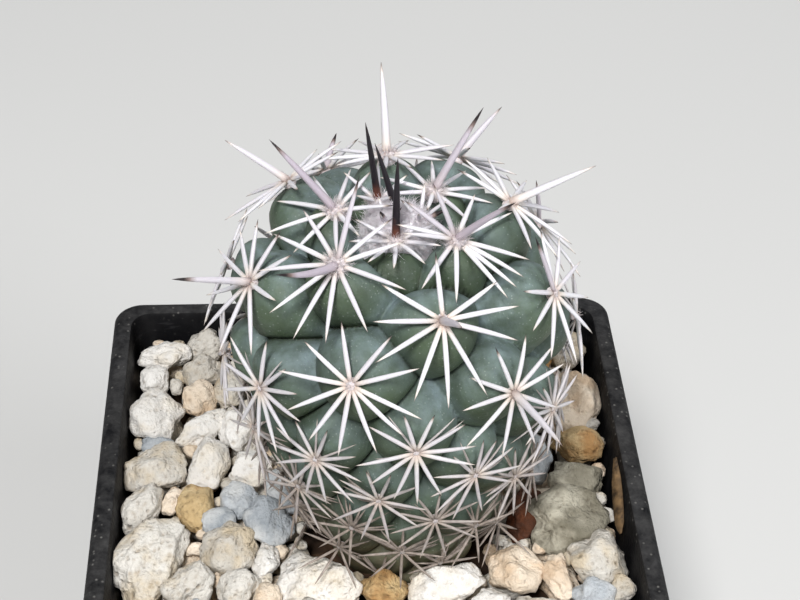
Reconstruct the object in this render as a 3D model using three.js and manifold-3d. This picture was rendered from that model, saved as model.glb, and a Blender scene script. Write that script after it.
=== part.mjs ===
// A young coryphantha in a square plastic pot with a stone top dressing.
// The stem is one body of low tubercles. Each tubercle carries an areole, a felt pad with a star of spines.
// Millimetres, +Z up, the origin is the centre of the pot's underside.
import * as THREE from 'three';
import { mergeVertices } from 'three/addons/utils/BufferGeometryUtils.js';
import Module from 'manifold-3d';

const wasm = await Module();
wasm.setup();

// Pot
const rimWidth = 80;
const potHeight = 75;
const baseWidth = 58;
const wallThickness = 1.2;
const floorThickness = 2;
const lipHeight = 6;
const lipOverhang = 2.2;
const cornerRadius = 4;
const drainDiameter = 8;
const drainOffset = 15;

// Fill
const gap = 0.35;
const soilTop = 58.5;
const bedTop = 69;
const stoneMiddle = 70.8;
const stoneHeights = [0.85, 6.4];
const stoneSwell = 1.13;
const stoneStandOut = 0.38;
const rootHoleRadius = 7;
const rootHoleBottom = 46.2;
const stemRoom = 0.5;

// Stem, in its own frame: heights are counted from this level
const stemLevel = 67;
const stemFoot = [4.55, -0.25];
const stemLean = [-0.035, -0.003];
const firstAreoleAngle = 74.5;
const goldenAngle = 137.508;
const lastAreole = 80;
// Outline through the areoles, from the crown down: areole number, radius, height
const tipOutline = [
  [0, 0.8, 55.3], [4, 5.4, 56.6], [8, 10.9, 57.7], [12, 17.2, 54.5], [18, 21.7, 46.8], [26, 22.5, 38],
  [36, 21.1, 29.6], [48, 19.1, 21.1], [60, 16.2, 12.4], [72, 13.4, 4], [80, 11.2, -2],
];
// The buried end: radius, height
const rootOutline = [[9.4, -5], [6.2, -8.6], [4.4, -14], [2.6, -20]];
// Areole number and how far the folds between the tubercles lie below their tips
const tubercleHeight = [[0, 1], [4, 2.2], [8, 4.2], [14, 5.2], [20, 4.6], [30, 3.4], [45, 2.4], [80, 1.4]];
const stemColumns = 50;
const stemRows = 44;

// Spines: areole number and length, thickness
const radialLength = [[0, 3], [4, 6.3], [7, 9.1], [17, 8.8], [22, 7.9], [30, 6.9], [48, 6.4], [80, 5.2]];
const radialThickness = [[0, 0.56], [8, 0.7], [20, 0.66], [34, 0.52], [48, 0.46], [80, 0.42]];
const centralThickness = 1.15;
const hubRadius = 1.35;
const hubHeight = 0.95;
const standOff = 0.5;
const spineClearance = 0.22;
const surfaceClearance = 0.4;

// Spines past this areole are straight tapers, those before it stay thick to beyond their middle
const lastWithWaist = 29;

// Which areoles share a node
const lastInCrown = 4;
const lastSingle = 48;
const chainCount = 8;
const lastWithSpines = 64;

const potBlack = { color: 0x17181a, roughness: 0.62, metalness: 0 };
const soilBrown = { color: 0x3b2a1d, roughness: 0.95, metalness: 0 };
const stoneCream = { color: 0xd6cfbd, roughness: 0.85, metalness: 0 };
const stemGreen = { color: 0x6f8a7a, roughness: 0.6, metalness: 0 };
const spineWhite = { color: 0xe6dcd2, roughness: 0.5, metalness: 0 };
const woolWhite = { color: 0xe2d3c8, roughness: 0.95, metalness: 0 };

const radians = Math.PI / 180;

// A fixed draw between 0 and 1 for each pair of numbers
function draw(key, salt) {
  const value = Math.sin(key * 12.9898 + salt * 78.233) * 43758.5453;
  return value - Math.floor(value);
}

// A smooth curve through the points of an outline
function along(outline, column, at) {
  const last = outline.length - 1;
  let i = 0;
  while (i < last - 1 && at > outline[i + 1][0]) i += 1;
  const slope = (k) => {
    const before = outline[Math.max(k - 1, 0)];
    const after = outline[Math.min(k + 1, last)];
    return (after[column] - before[column]) / (after[0] - before[0]);
  };
  const width = outline[i + 1][0] - outline[i][0];
  const t = THREE.MathUtils.clamp((at - outline[i][0]) / width, 0, 1);
  const from = (1 + 2 * t) * (1 - t) * (1 - t) * outline[i][column];
  const to = t * t * (3 - 2 * t) * outline[i + 1][column];
  const leave = t * (1 - t) * (1 - t) * width * slope(i);
  const arrive = t * t * (t - 1) * width * slope(i + 1);
  return from + to + leave + arrive;
}

// The stem's outline as rings: radius, height, outward normal, length from the crown
const ringStep = 0.25;
const rings = [];
for (let n = 0; n <= lastAreole + 1e-9; n += ringStep) {
  const before = Math.max(n - 0.05, 0);
  const after = Math.min(n + 0.05, lastAreole);
  const across = along(tipOutline, 1, after) - along(tipOutline, 1, before);
  const down = along(tipOutline, 2, after) - along(tipOutline, 2, before);
  const size = Math.hypot(across, down);
  const ring = { n, radius: along(tipOutline, 1, n), height: along(tipOutline, 2, n) };
  ring.normal = [-down / size, across / size];
  const last = rings[rings.length - 1];
  ring.length = last ? last.length + Math.hypot(ring.radius - last.radius, ring.height - last.height) : 0;
  rings.push(ring);
}

function ringAt(n) {
  const place = THREE.MathUtils.clamp(n / ringStep, 0, rings.length - 1.001);
  const i = Math.floor(place);
  const t = place - i;
  const before = rings[i];
  const after = rings[i + 1];
  const mix = (a, b) => a + (b - a) * t;
  return {
    n,
    radius: mix(before.radius, after.radius),
    height: mix(before.height, after.height),
    length: mix(before.length, after.length),
    normal: [0, 1].map((axis) => mix(before.normal[axis], after.normal[axis])),
  };
}

// From the stem's own frame into the pot's
function inPot(radius, angle, height) {
  return new THREE.Vector3(
    stemFoot[0] + stemLean[0] * height + radius * Math.cos(angle),
    stemFoot[1] + stemLean[1] * height + radius * Math.sin(angle),
    stemLevel + height,
  );
}

// Areoles follow one another round the stem by the golden angle
const areoles = [];
for (let n = 0; n <= lastAreole; n += 1) {
  const ring = ringAt(n);
  const perAreole = (ringAt(n + 1).length - ringAt(Math.max(n - 1, 0)).length) / (n === 0 ? 1 : 2);
  const spacing = Math.sqrt(2 * Math.PI * ring.radius * Math.max(perAreole, 0.3));
  areoles.push({
    n,
    angle: ((firstAreoleAngle + goldenAngle * n) % 360) * radians,
    ring,
    reach: 0.62 * spacing,
  });
}

// How far the stem's surface lies below the outline through the tips
function foldDepth(n, angle) {
  const ring = ringAt(n);
  let nearest = 1.1;
  for (const areole of areoles) {
    const down = ring.length - areole.ring.length;
    if (Math.abs(down) > 14) continue;
    let turn = angle - areole.angle;
    turn -= 2 * Math.PI * Math.round(turn / (2 * Math.PI));
    const round = turn * 0.5 * (ring.radius + areole.ring.radius);
    const lengthwise = down * (down > 0 ? 0.9 : 1.15);
    nearest = Math.min(nearest, Math.hypot(round, lengthwise) / areole.reach);
  }
  const crownDip = 1.8 * THREE.MathUtils.clamp((4.9 - n) / 1.2, 0, 1);
  return along(tubercleHeight, 1, n) * nearest ** 2.2 + crownDip;
}

// Height of a point over the stem's surface
function heightOverStem(point) {
  const height = point.z - stemLevel;
  const x = point.x - stemFoot[0] - stemLean[0] * height;
  const y = point.y - stemFoot[1] - stemLean[1] * height;
  const radius = Math.hypot(x, y);
  let best = rings[0];
  let least = Infinity;
  for (const ring of rings) {
    const away = (ring.radius - radius) ** 2 + (ring.height - height) ** 2;
    if (away < least) {
      least = away;
      best = ring;
    }
  }
  const outward = (radius - best.radius) * best.normal[0] + (height - best.height) * best.normal[1];
  return outward + foldDepth(best.n, Math.atan2(y, x));
}

// Half the width between the pot's inner walls
function innerHalf(z) {
  const underLip = rimWidth / 2 - lipOverhang;
  const outer = THREE.MathUtils.lerp(baseWidth / 2, underLip, z / (potHeight - lipHeight));
  return Math.min(outer, underLip + 0.4) - wallThickness;
}

// The stones that can be told apart: place, length along x and y, turn in degrees
const chosenStones = [
  [-25.8, 33.6, 6, 6, 0], [-32, 31.4, 8.5, 5, 10], [-25.5, 27.6, 6.5, 6.5, 0], [-33, 25.4, 5, 5.5, 20],
  [-32, 18.2, 9.6, 9.6, 15], [-26, 21.6, 5.5, 6, 0], [-21.4, 23.5, 5, 7, 0], [-25, 15.3, 10, 4.8, 28],
  [-24.5, 7.6, 7, 9.8, -8], [-19.6, 14, 6.5, 7.4, 0], [-17.6, 6.2, 6.8, 6.4, 0], [-32, 7, 9.4, 8.4, 5],
  [-31.6, 12.2, 5.4, 3.6, 0], [-33.6, -1, 5.4, 8.4, -25], [-31.6, -10.6, 10.4, 14.4, -30],
  [-26.4, -15.4, 8, 7, 30], [-25.6, -1.4, 6, 8, 15], [-29.2, 0.8, 4, 4.4, 0], [-19.4, 0, 5.4, 6.4, 0],
  [-20.6, -8.4, 8.2, 8.4, 0], [-22.2, -3.4, 4.8, 4.6, 0], [-14.9, -4, 7, 8.2, 20], [-15.6, -10.8, 4, 6.4, 0],
  [-19, -15.8, 6, 7, -20], [-24.6, -21, 5.4, 5.6, 0], [-15.4, -17.6, 4.4, 4.6, 0], [-8.6, -15, 12.8, 10, 0],
  [0.8, -17.2, 7.6, 5.6, 0], [9.6, -16.4, 10.8, 6.8, 12], [15.6, -20, 6, 5, 20], [3.4, -21.6, 5, 4.6, 0],
  [32.6, 31, 6, 7, 0], [31.2, 20, 10.6, 13.8, 0], [31.6, 10.2, 8, 6.8, 0], [31, 3.2, 9, 6.6, 0],
  [28, -5, 13, 10.2, 24], [32, -12, 9, 9, 0], [24.4, 8.4, 6.2, 10.4, 8], [22.4, -3, 5.4, 10, -25],
  [19.4, -14.4, 8.4, 7.6, 0], [25.8, -14.8, 4.6, 7.8, 12], [30.4, -18.8, 6, 5, 0], [34.6, -17.6, 4, 4.6, 0],
];
const fillerTries = 1200;
const fillerSizes = [5.6, 9.8];
const closestStone = 13.6;

// The chosen stones first, then seeded ones wherever there is room
function stonePlaces() {
  const places = chosenStones.map(([x, y, long, wide, turn]) => ({ x, y, long, wide, turn }));
  for (let k = 0; k < fillerTries; k += 1) {
    const long = THREE.MathUtils.lerp(fillerSizes[1], fillerSizes[0], k / fillerTries);
    const wide = long * (0.7 + 0.3 * draw(k, 3));
    const room = innerHalf(stoneMiddle) - long / 2;
    const x = room * (2 * draw(k, 1) - 1);
    const y = room * (2 * draw(k, 2) - 1);
    const fromStem = Math.hypot(x - stemFoot[0], y - stemFoot[1]);
    const clear = places.every((p) => Math.hypot(p.x - x, p.y - y) > 0.42 * (long + 0.5 * (p.long + p.wide)));
    if (!clear || fromStem < closestStone + 0.3 * long) continue;
    places.push({ x, y, long, wide, turn: 180 * draw(k, 4) });
  }
  for (const place of places) {
    place.high = Math.min(stoneHeights[0] * Math.min(place.long, place.wide), stoneHeights[1]);
    place.middle = Math.min(stoneMiddle, bedTop + stoneStandOut * place.high);
  }
  return places;
}

const stones = stonePlaces();

// Whether a point stays over the bed and outside its stones
function isOverGravel(point, margin) {
  if (point.z < bedTop + margin) return false;
  if (point.z > stoneMiddle + 0.5 * stoneSwell * stoneHeights[1] + margin) return true;
  return stones.every((stone) => {
    const turn = stone.turn * radians;
    const x = point.x - stone.x;
    const y = point.y - stone.y;
    const lengthways = x * Math.cos(turn) + y * Math.sin(turn);
    const across = y * Math.cos(turn) - x * Math.sin(turn);
    const share = (offset, size) => offset / (0.5 * stoneSwell * size + margin);
    const over = share(point.z - stone.middle, stone.high);
    return Math.hypot(share(lengthways, stone.long), share(across, stone.wide), over) > 1;
  });
}

// Shortest way between two straight needles' axes
function axisDistance(a, b) {
  const p = a.tip.clone().sub(a.root);
  const q = b.tip.clone().sub(b.root);
  const w = a.root.clone().sub(b.root);
  const pp = p.dot(p);
  const pq = p.dot(q);
  const qq = q.dot(q);
  const pw = p.dot(w);
  const qw = q.dot(w);
  const parallel = pp * qq - pq * pq;
  let s = parallel > 1e-6 ? THREE.MathUtils.clamp((pq * qw - qq * pw) / parallel, 0, 1) : 0;
  const t = THREE.MathUtils.clamp((pq * s + qw) / qq, 0, 1);
  s = THREE.MathUtils.clamp((pq * t - pw) / pp, 0, 1);
  return w.addScaledVector(p, s).addScaledVector(q, -t).length();
}

function geometryOf(positions, faces) {
  const geometry = new THREE.BufferGeometry();
  geometry.setAttribute('position', new THREE.Float32BufferAttribute(positions, 3));
  geometry.setIndex(faces);
  return geometry;
}

function solidOf(geometry) {
  const bare = geometry.clone();
  bare.deleteAttribute('normal');
  bare.deleteAttribute('uv');
  const merged = mergeVertices(bare, 1e-4);
  return new wasm.Manifold(new wasm.Mesh({
    numProp: 3,
    vertProperties: new Float32Array(merged.attributes.position.array),
    triVerts: new Uint32Array(merged.index.array),
  }));
}

function geometryFrom(solid) {
  const mesh = solid.getMesh();
  return geometryOf(Array.from(mesh.vertProperties), Array.from(mesh.triVerts));
}

function named(name, geometry, finish) {
  const mesh = new THREE.Mesh(geometry, new THREE.MeshStandardMaterial(finish));
  mesh.name = name;
  return mesh;
}

// Closed skin over a stack of rings that all hold the same number of points
function skin(stack) {
  const count = stack[0].length;
  const positions = stack.flat().flatMap((p) => [p.x, p.y, p.z]);
  const faces = [];
  for (let j = 0; j < stack.length - 1; j += 1) {
    for (let i = 0; i < count; i += 1) {
      const a = j * count + i;
      const b = j * count + ((i + 1) % count);
      faces.push(a, b, b + count, a, b + count, a + count);
    }
  }
  const closeEnd = (ring, first, flip) => {
    const middle = positions.length / 3;
    const centre = ring.reduce((sum, p) => sum.add(p), new THREE.Vector3()).divideScalar(count);
    positions.push(centre.x, centre.y, centre.z);
    for (let i = 0; i < count; i += 1) {
      const a = first + i;
      const b = first + ((i + 1) % count);
      faces.push(middle, flip ? a : b, flip ? b : a);
    }
  };
  closeEnd(stack[0], 0, false);
  closeEnd(stack[stack.length - 1], (stack.length - 1) * count, true);
  return geometryOf(positions, faces);
}

// A square ring with round corners, counted anticlockwise from above
function squareRing(half, radius, z, perCorner = 4) {
  const ring = [];
  for (let corner = 0; corner < 4; corner += 1) {
    const facing = (45 + 90 * corner) * radians;
    const cx = Math.sign(Math.cos(facing)) * (half - radius);
    const cy = Math.sign(Math.sin(facing)) * (half - radius);
    for (let i = 0; i <= perCorner; i += 1) {
      const angle = (90 * corner + (90 * i) / perCorner) * radians;
      ring.push(new THREE.Vector3(cx + radius * Math.cos(angle), cy + radius * Math.sin(angle), z));
    }
  }
  return ring;
}

function uprightCylinder(radius, from, to, [x, y]) {
  const geometry = new THREE.CylinderGeometry(radius, radius, to - from, 24);
  geometry.rotateX(Math.PI / 2);
  geometry.translate(x, y, (from + to) / 2);
  return solidOf(geometry);
}

function makePot() {
  const half = rimWidth / 2;
  const foot = baseWidth / 2;
  const lipFoot = potHeight - lipHeight;
  const inside = innerHalf(potHeight);
  const shell = skin([
    squareRing(foot - 0.8, 6, 0),
    squareRing(foot, 6.4, 1),
    squareRing(half - lipOverhang, 4.6, lipFoot - 0.4),
    squareRing(half - 0.3, cornerRadius, lipFoot),
    squareRing(half, cornerRadius, potHeight - 1.2),
    squareRing(half - 0.5, cornerRadius, potHeight - 0.3),
    squareRing(half - 1.2, cornerRadius, potHeight),
    squareRing(inside + 0.5, cornerRadius - 0.8, potHeight),
    squareRing(inside, cornerRadius - 1, potHeight - 0.7),
    squareRing(innerHalf(lipFoot), 3.6, lipFoot),
    squareRing(innerHalf(floorThickness), 5.4, floorThickness),
  ]);
  let pot = solidOf(shell);
  for (const [sideX, sideY] of [[1, 1], [-1, 1], [-1, -1], [1, -1]]) {
    const place = [sideX * drainOffset, sideY * drainOffset];
    pot = pot.subtract(uprightCylinder(drainDiameter / 2, -1, floorThickness + 1, place));
  }
  return geometryFrom(pot);
}

function makeSoil() {
  const foot = floorThickness + gap;
  const block = skin([
    squareRing(innerHalf(foot) - gap, 5, foot),
    squareRing(innerHalf(soilTop) - gap, 3.6, soilTop),
  ]);
  const rootHole = uprightCylinder(rootHoleRadius, rootHoleBottom, soilTop + 1, stemFoot);
  return geometryFrom(solidOf(block).subtract(rootHole));
}

function makeStone(place, k) {
  const lump = new THREE.IcosahedronGeometry(1, 0);
  lump.deleteAttribute('normal');
  lump.deleteAttribute('uv');
  const stone = mergeVertices(lump, 1e-4);
  const at = stone.attributes.position;
  const turn = place.turn * radians;
  const limit = innerHalf(bedTop - 1) - gap;
  for (let i = 0; i < at.count; i += 1) {
    const swell = stoneSwell - 0.22 * draw(k * 13 + i, 5);
    const u = at.getX(i) * swell * 0.5 * place.long;
    const v = at.getY(i) * swell * 0.5 * place.wide;
    const x = place.x + u * Math.cos(turn) - v * Math.sin(turn);
    const y = place.y + u * Math.sin(turn) + v * Math.cos(turn);
    const z = place.middle + at.getZ(i) * swell * 0.5 * place.high;
    at.setXYZ(i, THREE.MathUtils.clamp(x, -limit, limit), THREE.MathUtils.clamp(y, -limit, limit), z);
  }
  return solidOf(stone);
}

// The hollow that the stem stands in, a little wider than its outline
function stemHollow() {
  const turns = Array.from({ length: 36 }, (_, i) => (2 * Math.PI * i) / 36);
  const rows = [[6.4, -10], [6.4, -8.6], [9.4, -5]];
  for (let n = lastAreole; n > 60; n -= 6) rows.push([ringAt(n).radius, ringAt(n).height]);
  return solidOf(skin(rows.map(([radius, height]) => {
    return turns.map((angle) => inPot(radius + stemRoom, angle, height));
  })));
}

function makeGravel() {
  const foot = soilTop + gap;
  let gravel = solidOf(skin([
    squareRing(innerHalf(foot) - gap, 3.4, foot),
    squareRing(innerHalf(bedTop) - gap, 3.4, bedTop),
  ]));
  for (const [k, place] of stones.entries()) gravel = gravel.add(makeStone(place, k));
  return geometryFrom(gravel.subtract(stemHollow()));
}

function makeStem() {
  const stack = [];
  const turns = Array.from({ length: stemColumns }, (_, i) => (2 * Math.PI * i) / stemColumns);
  for (const [radius, height] of rootOutline.toReversed()) {
    stack.push(turns.map((angle) => inPot(radius, angle, height)));
  }
  for (let j = 0; j <= stemRows; j += 1) {
    const n = THREE.MathUtils.lerp(lastAreole, 1, (j / stemRows) ** 0.82);
    const ring = ringAt(n);
    stack.push(turns.map((angle) => {
      const depth = foldDepth(n, angle);
      return inPot(ring.radius - depth * ring.normal[0], angle, ring.height - depth * ring.normal[1]);
    }));
  }
  return skin(stack);
}

// Frame of an areole: a point just over the tip, and the ways outward, towards the crown and to the side
function areoleFrame(n) {
  const { angle, ring } = areoles[n];
  const radial = new THREE.Vector3(Math.cos(angle), Math.sin(angle), 0);
  const aside = new THREE.Vector3(-Math.sin(angle), Math.cos(angle), 0);
  const out = radial.clone().multiplyScalar(ring.normal[0]).setZ(ring.normal[1]).normalize();
  const crownward = new THREE.Vector3().crossVectors(out, aside);
  const foot = inPot(ring.radius, angle, ring.height).addScaledVector(out, standOff);
  return { foot, radial, aside, out, crownward };
}

// A direction given by its height over the horizontal and its swing to the side
function worldDirection(frame, rise, side) {
  const level = frame.radial.clone().multiplyScalar(Math.cos(side));
  level.addScaledVector(frame.aside, Math.sin(side));
  return level.multiplyScalar(Math.cos(rise)).setZ(Math.sin(rise));
}

// The star's plane faces upward near the crown and outward lower down
function starFrame(frame, n) {
  const rise = (3 + 87 * Math.exp(-((n / 14) ** 2))) * radians;
  const facing = worldDirection(frame, rise, 0);
  const crownward = new THREE.Vector3().crossVectors(facing, frame.aside);
  return { facing, crownward };
}

// Stars seen from the front: clock angles of the radials, the central's rise, side and length,
// and the clock, lift and length of the longer spines that stand between the two
const knownStars = {
  5: { clock: [20, 60, 100, 135, 170, 205, 240, 280, 325], central: [60, -20, 13] },
  6: { clock: [5, 55, 90, 130, 170, 210, 250, 285, 320], central: [53, -3, 13.4] },
  7: {
    clock: [67, 100, 145, 163, 175, 188, 229, 262, 285, 335],
    central: [50, 7, 12],
    upper: [[325, 29, 9.1], [341, 52, 9]],
  },
  8: { clock: [20, 60, 90, 130, 165, 205, 245, 280, 305, 345], central: [57, 1, 12.1] },
  9: {
    clock: [15, 45, 85, 125, 155, 178, 205, 240, 270, 305],
    central: [27, -3, 12.3],
    upper: [[357, 33, 11.3]],
  },
  10: { clock: [15, 45, 85, 125, 160, 200, 240, 275, 310], central: [24, -3, 11.8] },
  11: { clock: [10, 40, 75, 105, 145, 185, 220, 260, 300, 335], central: [28, 14, 9.7] },
  12: { clock: [5, 60, 90, 115, 160, 188, 212, 250, 280, 310], central: [38, -7, 11.5] },
  13: { clock: [20, 60, 95, 135, 170, 205, 235, 270, 300, 335], central: [41, -33, 9] },
  14: { clock: [30, 75, 120, 162, 192, 220, 258, 288, 320, 355], central: [27, 12, 11.8] },
  15: { clock: [30, 65, 102, 132, 160, 200, 242, 275, 310], upper: [[348, 15, 10.5]] },
  16: { clock: [15, 50, 85, 120, 155, 190, 225, 260, 295, 330], central: [20, -40, 6.4] },
  17: { clock: [30, 70, 105, 125, 152, 183, 208, 237, 270, 305, 345] },
  18: { clock: [20, 55, 92, 130, 165, 200, 235, 272, 310], upper: [[352, 5, 9.2]] },
  19: { clock: [25, 60, 95, 130, 165, 200, 235, 270, 305, 340] },
  20: { clock: [25, 60, 88, 130, 165, 200, 245, 280, 310, 345], central: [7, -11, 11.5] },
  22: { clock: [0, 35, 62, 90, 120, 148, 172, 200, 235, 265, 300] },
  25: { clock: [20, 55, 85, 108, 155, 178, 200, 230, 258, 305, 345] },
  28: { clock: [10, 50, 85, 120, 155, 190, 225, 265, 300, 335] },
  30: { clock: [15, 60, 95, 130, 165, 190, 212, 240, 268, 297, 330] },
  33: { clock: [10, 30, 62, 98, 122, 170, 205, 232, 260, 290, 325] },
};
// Young stars in the crown's wool stand nearly upright
const crownStars = {
  0: { clock: [40, 160, 280], rise: 62, central: [70, 70, 11.2] },
  1: { clock: [30, 150, 270], rise: 58, central: [60, 30, 4.5] },
  2: { clock: [0, 90, 180, 270], rise: 50, central: [35, 0, 4] },
  3: { clock: [10, 80, 150, 220, 290], rise: 38, central: [76, 1, 11.2] },
  4: { clock: [0, 70, 110, 145, 180, 210, 250, 290], rise: 16, central: [77, -177, 11.2] },
};

function starPlan(n) {
  const known = crownStars[n] ?? knownStars[n];
  if (known) return { rise: 0, ...known };
  if (n > lastSingle) return { clock: chainClock(n), rise: 8 };
  const count = 9 + Math.floor(2.4 * draw(n, 11));
  const turn = 360 * draw(n, 12);
  const uneven = (i) => i + 0.5 * (draw(n * 17 + i, 13) - 0.5);
  const clock = Array.from({ length: count }, (_, i) => turn + (360 * uneven(i)) / count);
  const rise = n > 30 ? 4 : 0;
  return { clock, rise };
}

// The old stars near the gravel reach from one to the next, so a whole chain of them holds together
function chainClock(n) {
  const frame = areoleFrame(n);
  const { crownward } = starFrame(frame, n);
  const onward = areoleFrame(n + chainCount).foot.sub(frame.foot);
  const first = Math.atan2(onward.dot(frame.aside), onward.dot(crownward)) / radians;
  return Array.from({ length: 8 }, (_, i) => first + 45 * i);
}

// Small turns that a spine may take to stay clear, the slightest first
const turnsToTry = [];
for (let lift = -4; lift <= 60; lift += 4) {
  for (const swing of [0, 6, -6, 12, -12]) turnsToTry.push([lift, swing]);
}
turnsToTry.sort((a, b) => Math.hypot(a[0], a[1]) - Math.hypot(b[0], b[1]));
const shortenings = [1, 0.86, 0.72, 0.58];

// Spines that are set, with the node that each belongs to
const placedSpines = [];

// The straight spine from each old star to the next of its chain is set before all others
const chainName = (n) => `old_spines_${((n - lastSingle - 1) % chainCount) + 1}`;
const padMiddle = (frame) => frame.foot.clone().addScaledVector(frame.out, 0.5 * hubHeight);
const links = new Map();
for (let n = lastSingle + 1; n + chainCount <= lastWithSpines; n += 1) {
  const root = padMiddle(areoleFrame(n));
  const tip = padMiddle(areoleFrame(n + chainCount));
  const link = { root, tip, thick: along(radialThickness, 1, n), node: chainName(n) };
  links.set(n, link);
  placedSpines.push(link);
}

function isClear(spine, node) {
  for (let i = 1; i <= 6; i += 1) {
    const t = 0.22 + 0.13 * i;
    const point = spine.root.clone().lerp(spine.tip, t);
    const half = 0.5 * spine.thick * (1.1 - 0.9 * t);
    if (heightOverStem(point) < surfaceClearance + half) return false;
    if (!isOverGravel(point, spineClearance + half)) return false;
  }
  return placedSpines.every((other) => {
    if (other.node === node) return true;
    return axisDistance(spine, other) > 0.5 * (spine.thick + other.thick) + spineClearance;
  });
}

// The first turn that keeps the spine clear of the stem, the gravel and its neighbours
function bentClear(node, hub, thick, length, aim) {
  for (const share of shortenings) {
    for (const [lift, swing] of turnsToTry) {
      const direction = aim(lift * radians, swing * radians);
      const root = hub.clone().addScaledVector(direction, 0.7 * hubRadius);
      const tip = hub.clone().addScaledVector(direction, length * share);
      const spine = { root, tip, thick, node };
      if (isClear(spine, node)) return spine;
    }
  }
  return null;
}

// Sets out one areole's spines
function planStar(n, node) {
  const frame = areoleFrame(n);
  const { facing, crownward } = starFrame(frame, n);
  const plan = starPlan(n);
  const hub = padMiddle(frame);
  const star = { frame, hub, radials: [], needles: [], waisted: n <= lastWithWaist };
  const settle = (list, clock, thick, length, aim) => {
    const spine = bentClear(node, hub, thick, length, aim);
    if (!spine) return;
    placedSpines.push(spine);
    list.push({ ...spine, clock });
  };
  if (plan.central) {
    const [rise, side, length] = plan.central;
    const aim = (lift, swing) => worldDirection(frame, rise * radians + lift, side * radians + swing);
    settle(star.needles, 0, centralThickness, length, aim);
  }
  const aimAround = (clock, rise) => (lift, swing) => {
    const around = clock * radians + swing;
    const over = rise * radians + lift;
    const flat = crownward.clone().multiplyScalar(Math.cos(around));
    flat.addScaledVector(frame.aside, Math.sin(around));
    return flat.multiplyScalar(Math.cos(over)).addScaledVector(facing, Math.sin(over));
  };
  const thick = along(radialThickness, 1, n);
  for (const [clock, rise, length] of plan.upper ?? []) {
    settle(star.needles, clock, thick, length, aimAround(clock, rise));
  }
  for (const [i, clock] of plan.clock.entries()) {
    if (i === 0 && links.has(n)) {
      star.radials.push({ ...links.get(n), clock });
      continue;
    }
    const longer = 1 - 0.1 * Math.cos(clock * radians) + 0.12 * (draw(n * 31 + i, 21) - 0.5);
    settle(star.radials, clock, thick, along(radialLength, 1, n) * longer, aimAround(clock, plan.rise));
  }
  return star;
}

// A felt pad with its ring of three-sided radials, as one closed skin
function starGeometry(star) {
  const { frame, hub, radials } = star;
  const count = radials.length;
  const positions = [];
  const faces = [];
  const vertex = (p) => positions.push(p.x, p.y, p.z) / 3 - 1;
  const lean = radials.reduce((sum, s, i) => sum + s.clock - (360 * i) / count, 0) / count;
  const top = vertex(frame.foot.clone().addScaledVector(frame.out, hubHeight));
  const bottom = vertex(frame.foot.clone());
  const roots = [];
  const sides = [[2, 0], [1, 2], [0, 1]];
  for (let i = count - 1; i >= 0; i -= 1) {
    const { tip, thick } = radials[i];
    const around = (lean + (360 * i) / count) * radians;
    const outward = frame.crownward.clone().multiplyScalar(Math.cos(around))
      .addScaledVector(frame.aside, Math.sin(around));
    const edge = new THREE.Vector3().crossVectors(frame.out, outward);
    const half = Math.min(0.5 * thick, (0.45 * 2 * Math.PI * hubRadius) / count);
    const onPad = (height, away) => {
      return frame.foot.clone().addScaledVector(frame.out, height).addScaledVector(outward, away);
    };
    const low = onPad(0.18, hubRadius);
    const high = onPad(0.18 + thick, 0.8 * hubRadius);
    const root = [
      vertex(low.clone().addScaledVector(edge, -half)),
      vertex(low.clone().addScaledVector(edge, half)),
      vertex(high),
    ];
    const point = vertex(tip);
    faces.push(top, root[0], root[2], top, root[2], root[1], bottom, root[1], root[0]);
    roots.push(root);
    if (!star.waisted) {
      for (const [a, b] of sides) faces.push(root[a], root[b], point);
      continue;
    }
    const start = low.clone().lerp(high, 0.33);
    const direction = tip.clone().sub(start).normalize();
    const sideways = new THREE.Vector3().crossVectors(frame.out, direction).normalize();
    const upward = new THREE.Vector3().crossVectors(direction, sideways);
    const middle = start.clone().lerp(tip, 0.55).addScaledVector(upward, 0.012 * start.distanceTo(tip));
    const slim = 0.42 * thick;
    const waist = [
      vertex(middle.clone().addScaledVector(sideways, -slim).addScaledVector(upward, -0.3 * thick)),
      vertex(middle.clone().addScaledVector(sideways, slim).addScaledVector(upward, -0.3 * thick)),
      vertex(middle.clone().addScaledVector(upward, 0.5 * thick)),
    ];
    for (const [a, b] of sides) {
      faces.push(root[a], root[b], waist[b], root[a], waist[b], waist[a], waist[a], waist[b], point);
    }
  }
  for (const [i, root] of roots.entries()) {
    const next = roots[(i + 1) % count];
    faces.push(top, root[1], next[0], bottom, next[0], root[1]);
  }
  return geometryOf(positions, faces);
}

// A single three-sided needle, sunk into the pad
function needleGeometry(spine, hub) {
  const direction = spine.tip.clone().sub(hub).normalize();
  const sideways = new THREE.Vector3(-direction.y, direction.x, 0).normalize();
  const upward = new THREE.Vector3().crossVectors(direction, sideways);
  const length = spine.tip.distanceTo(hub);
  const positions = [];
  const levels = [[0, 0.5], [0.5, 0.46], [0.8, 0.26]];
  for (const [share, half] of levels) {
    for (let i = 0; i < 3; i += 1) {
      const around = (90 + 120 * i) * radians;
      const p = hub.clone().addScaledVector(direction, share * length)
        .addScaledVector(sideways, half * spine.thick * 1.2 * Math.cos(around))
        .addScaledVector(upward, half * spine.thick * 1.2 * Math.sin(around));
      positions.push(p.x, p.y, p.z);
    }
  }
  const tip = positions.push(spine.tip.x, spine.tip.y, spine.tip.z) / 3 - 1;
  const faces = [0, 2, 1];
  for (let j = 0; j < levels.length; j += 1) {
    for (let i = 0; i < 3; i += 1) {
      const a = 3 * j + i;
      const b = 3 * j + ((i + 1) % 3);
      if (j === levels.length - 1) faces.push(a, b, tip);
      else faces.push(a, b, b + 3, a, b + 3, a + 3);
    }
  }
  return geometryOf(positions, faces);
}

function starSolid(star) {
  const needles = star.needles.map((spine) => solidOf(needleGeometry(spine, star.hub)));
  return needles.reduce((sum, needle) => sum.add(needle), solidOf(starGeometry(star)));
}

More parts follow.
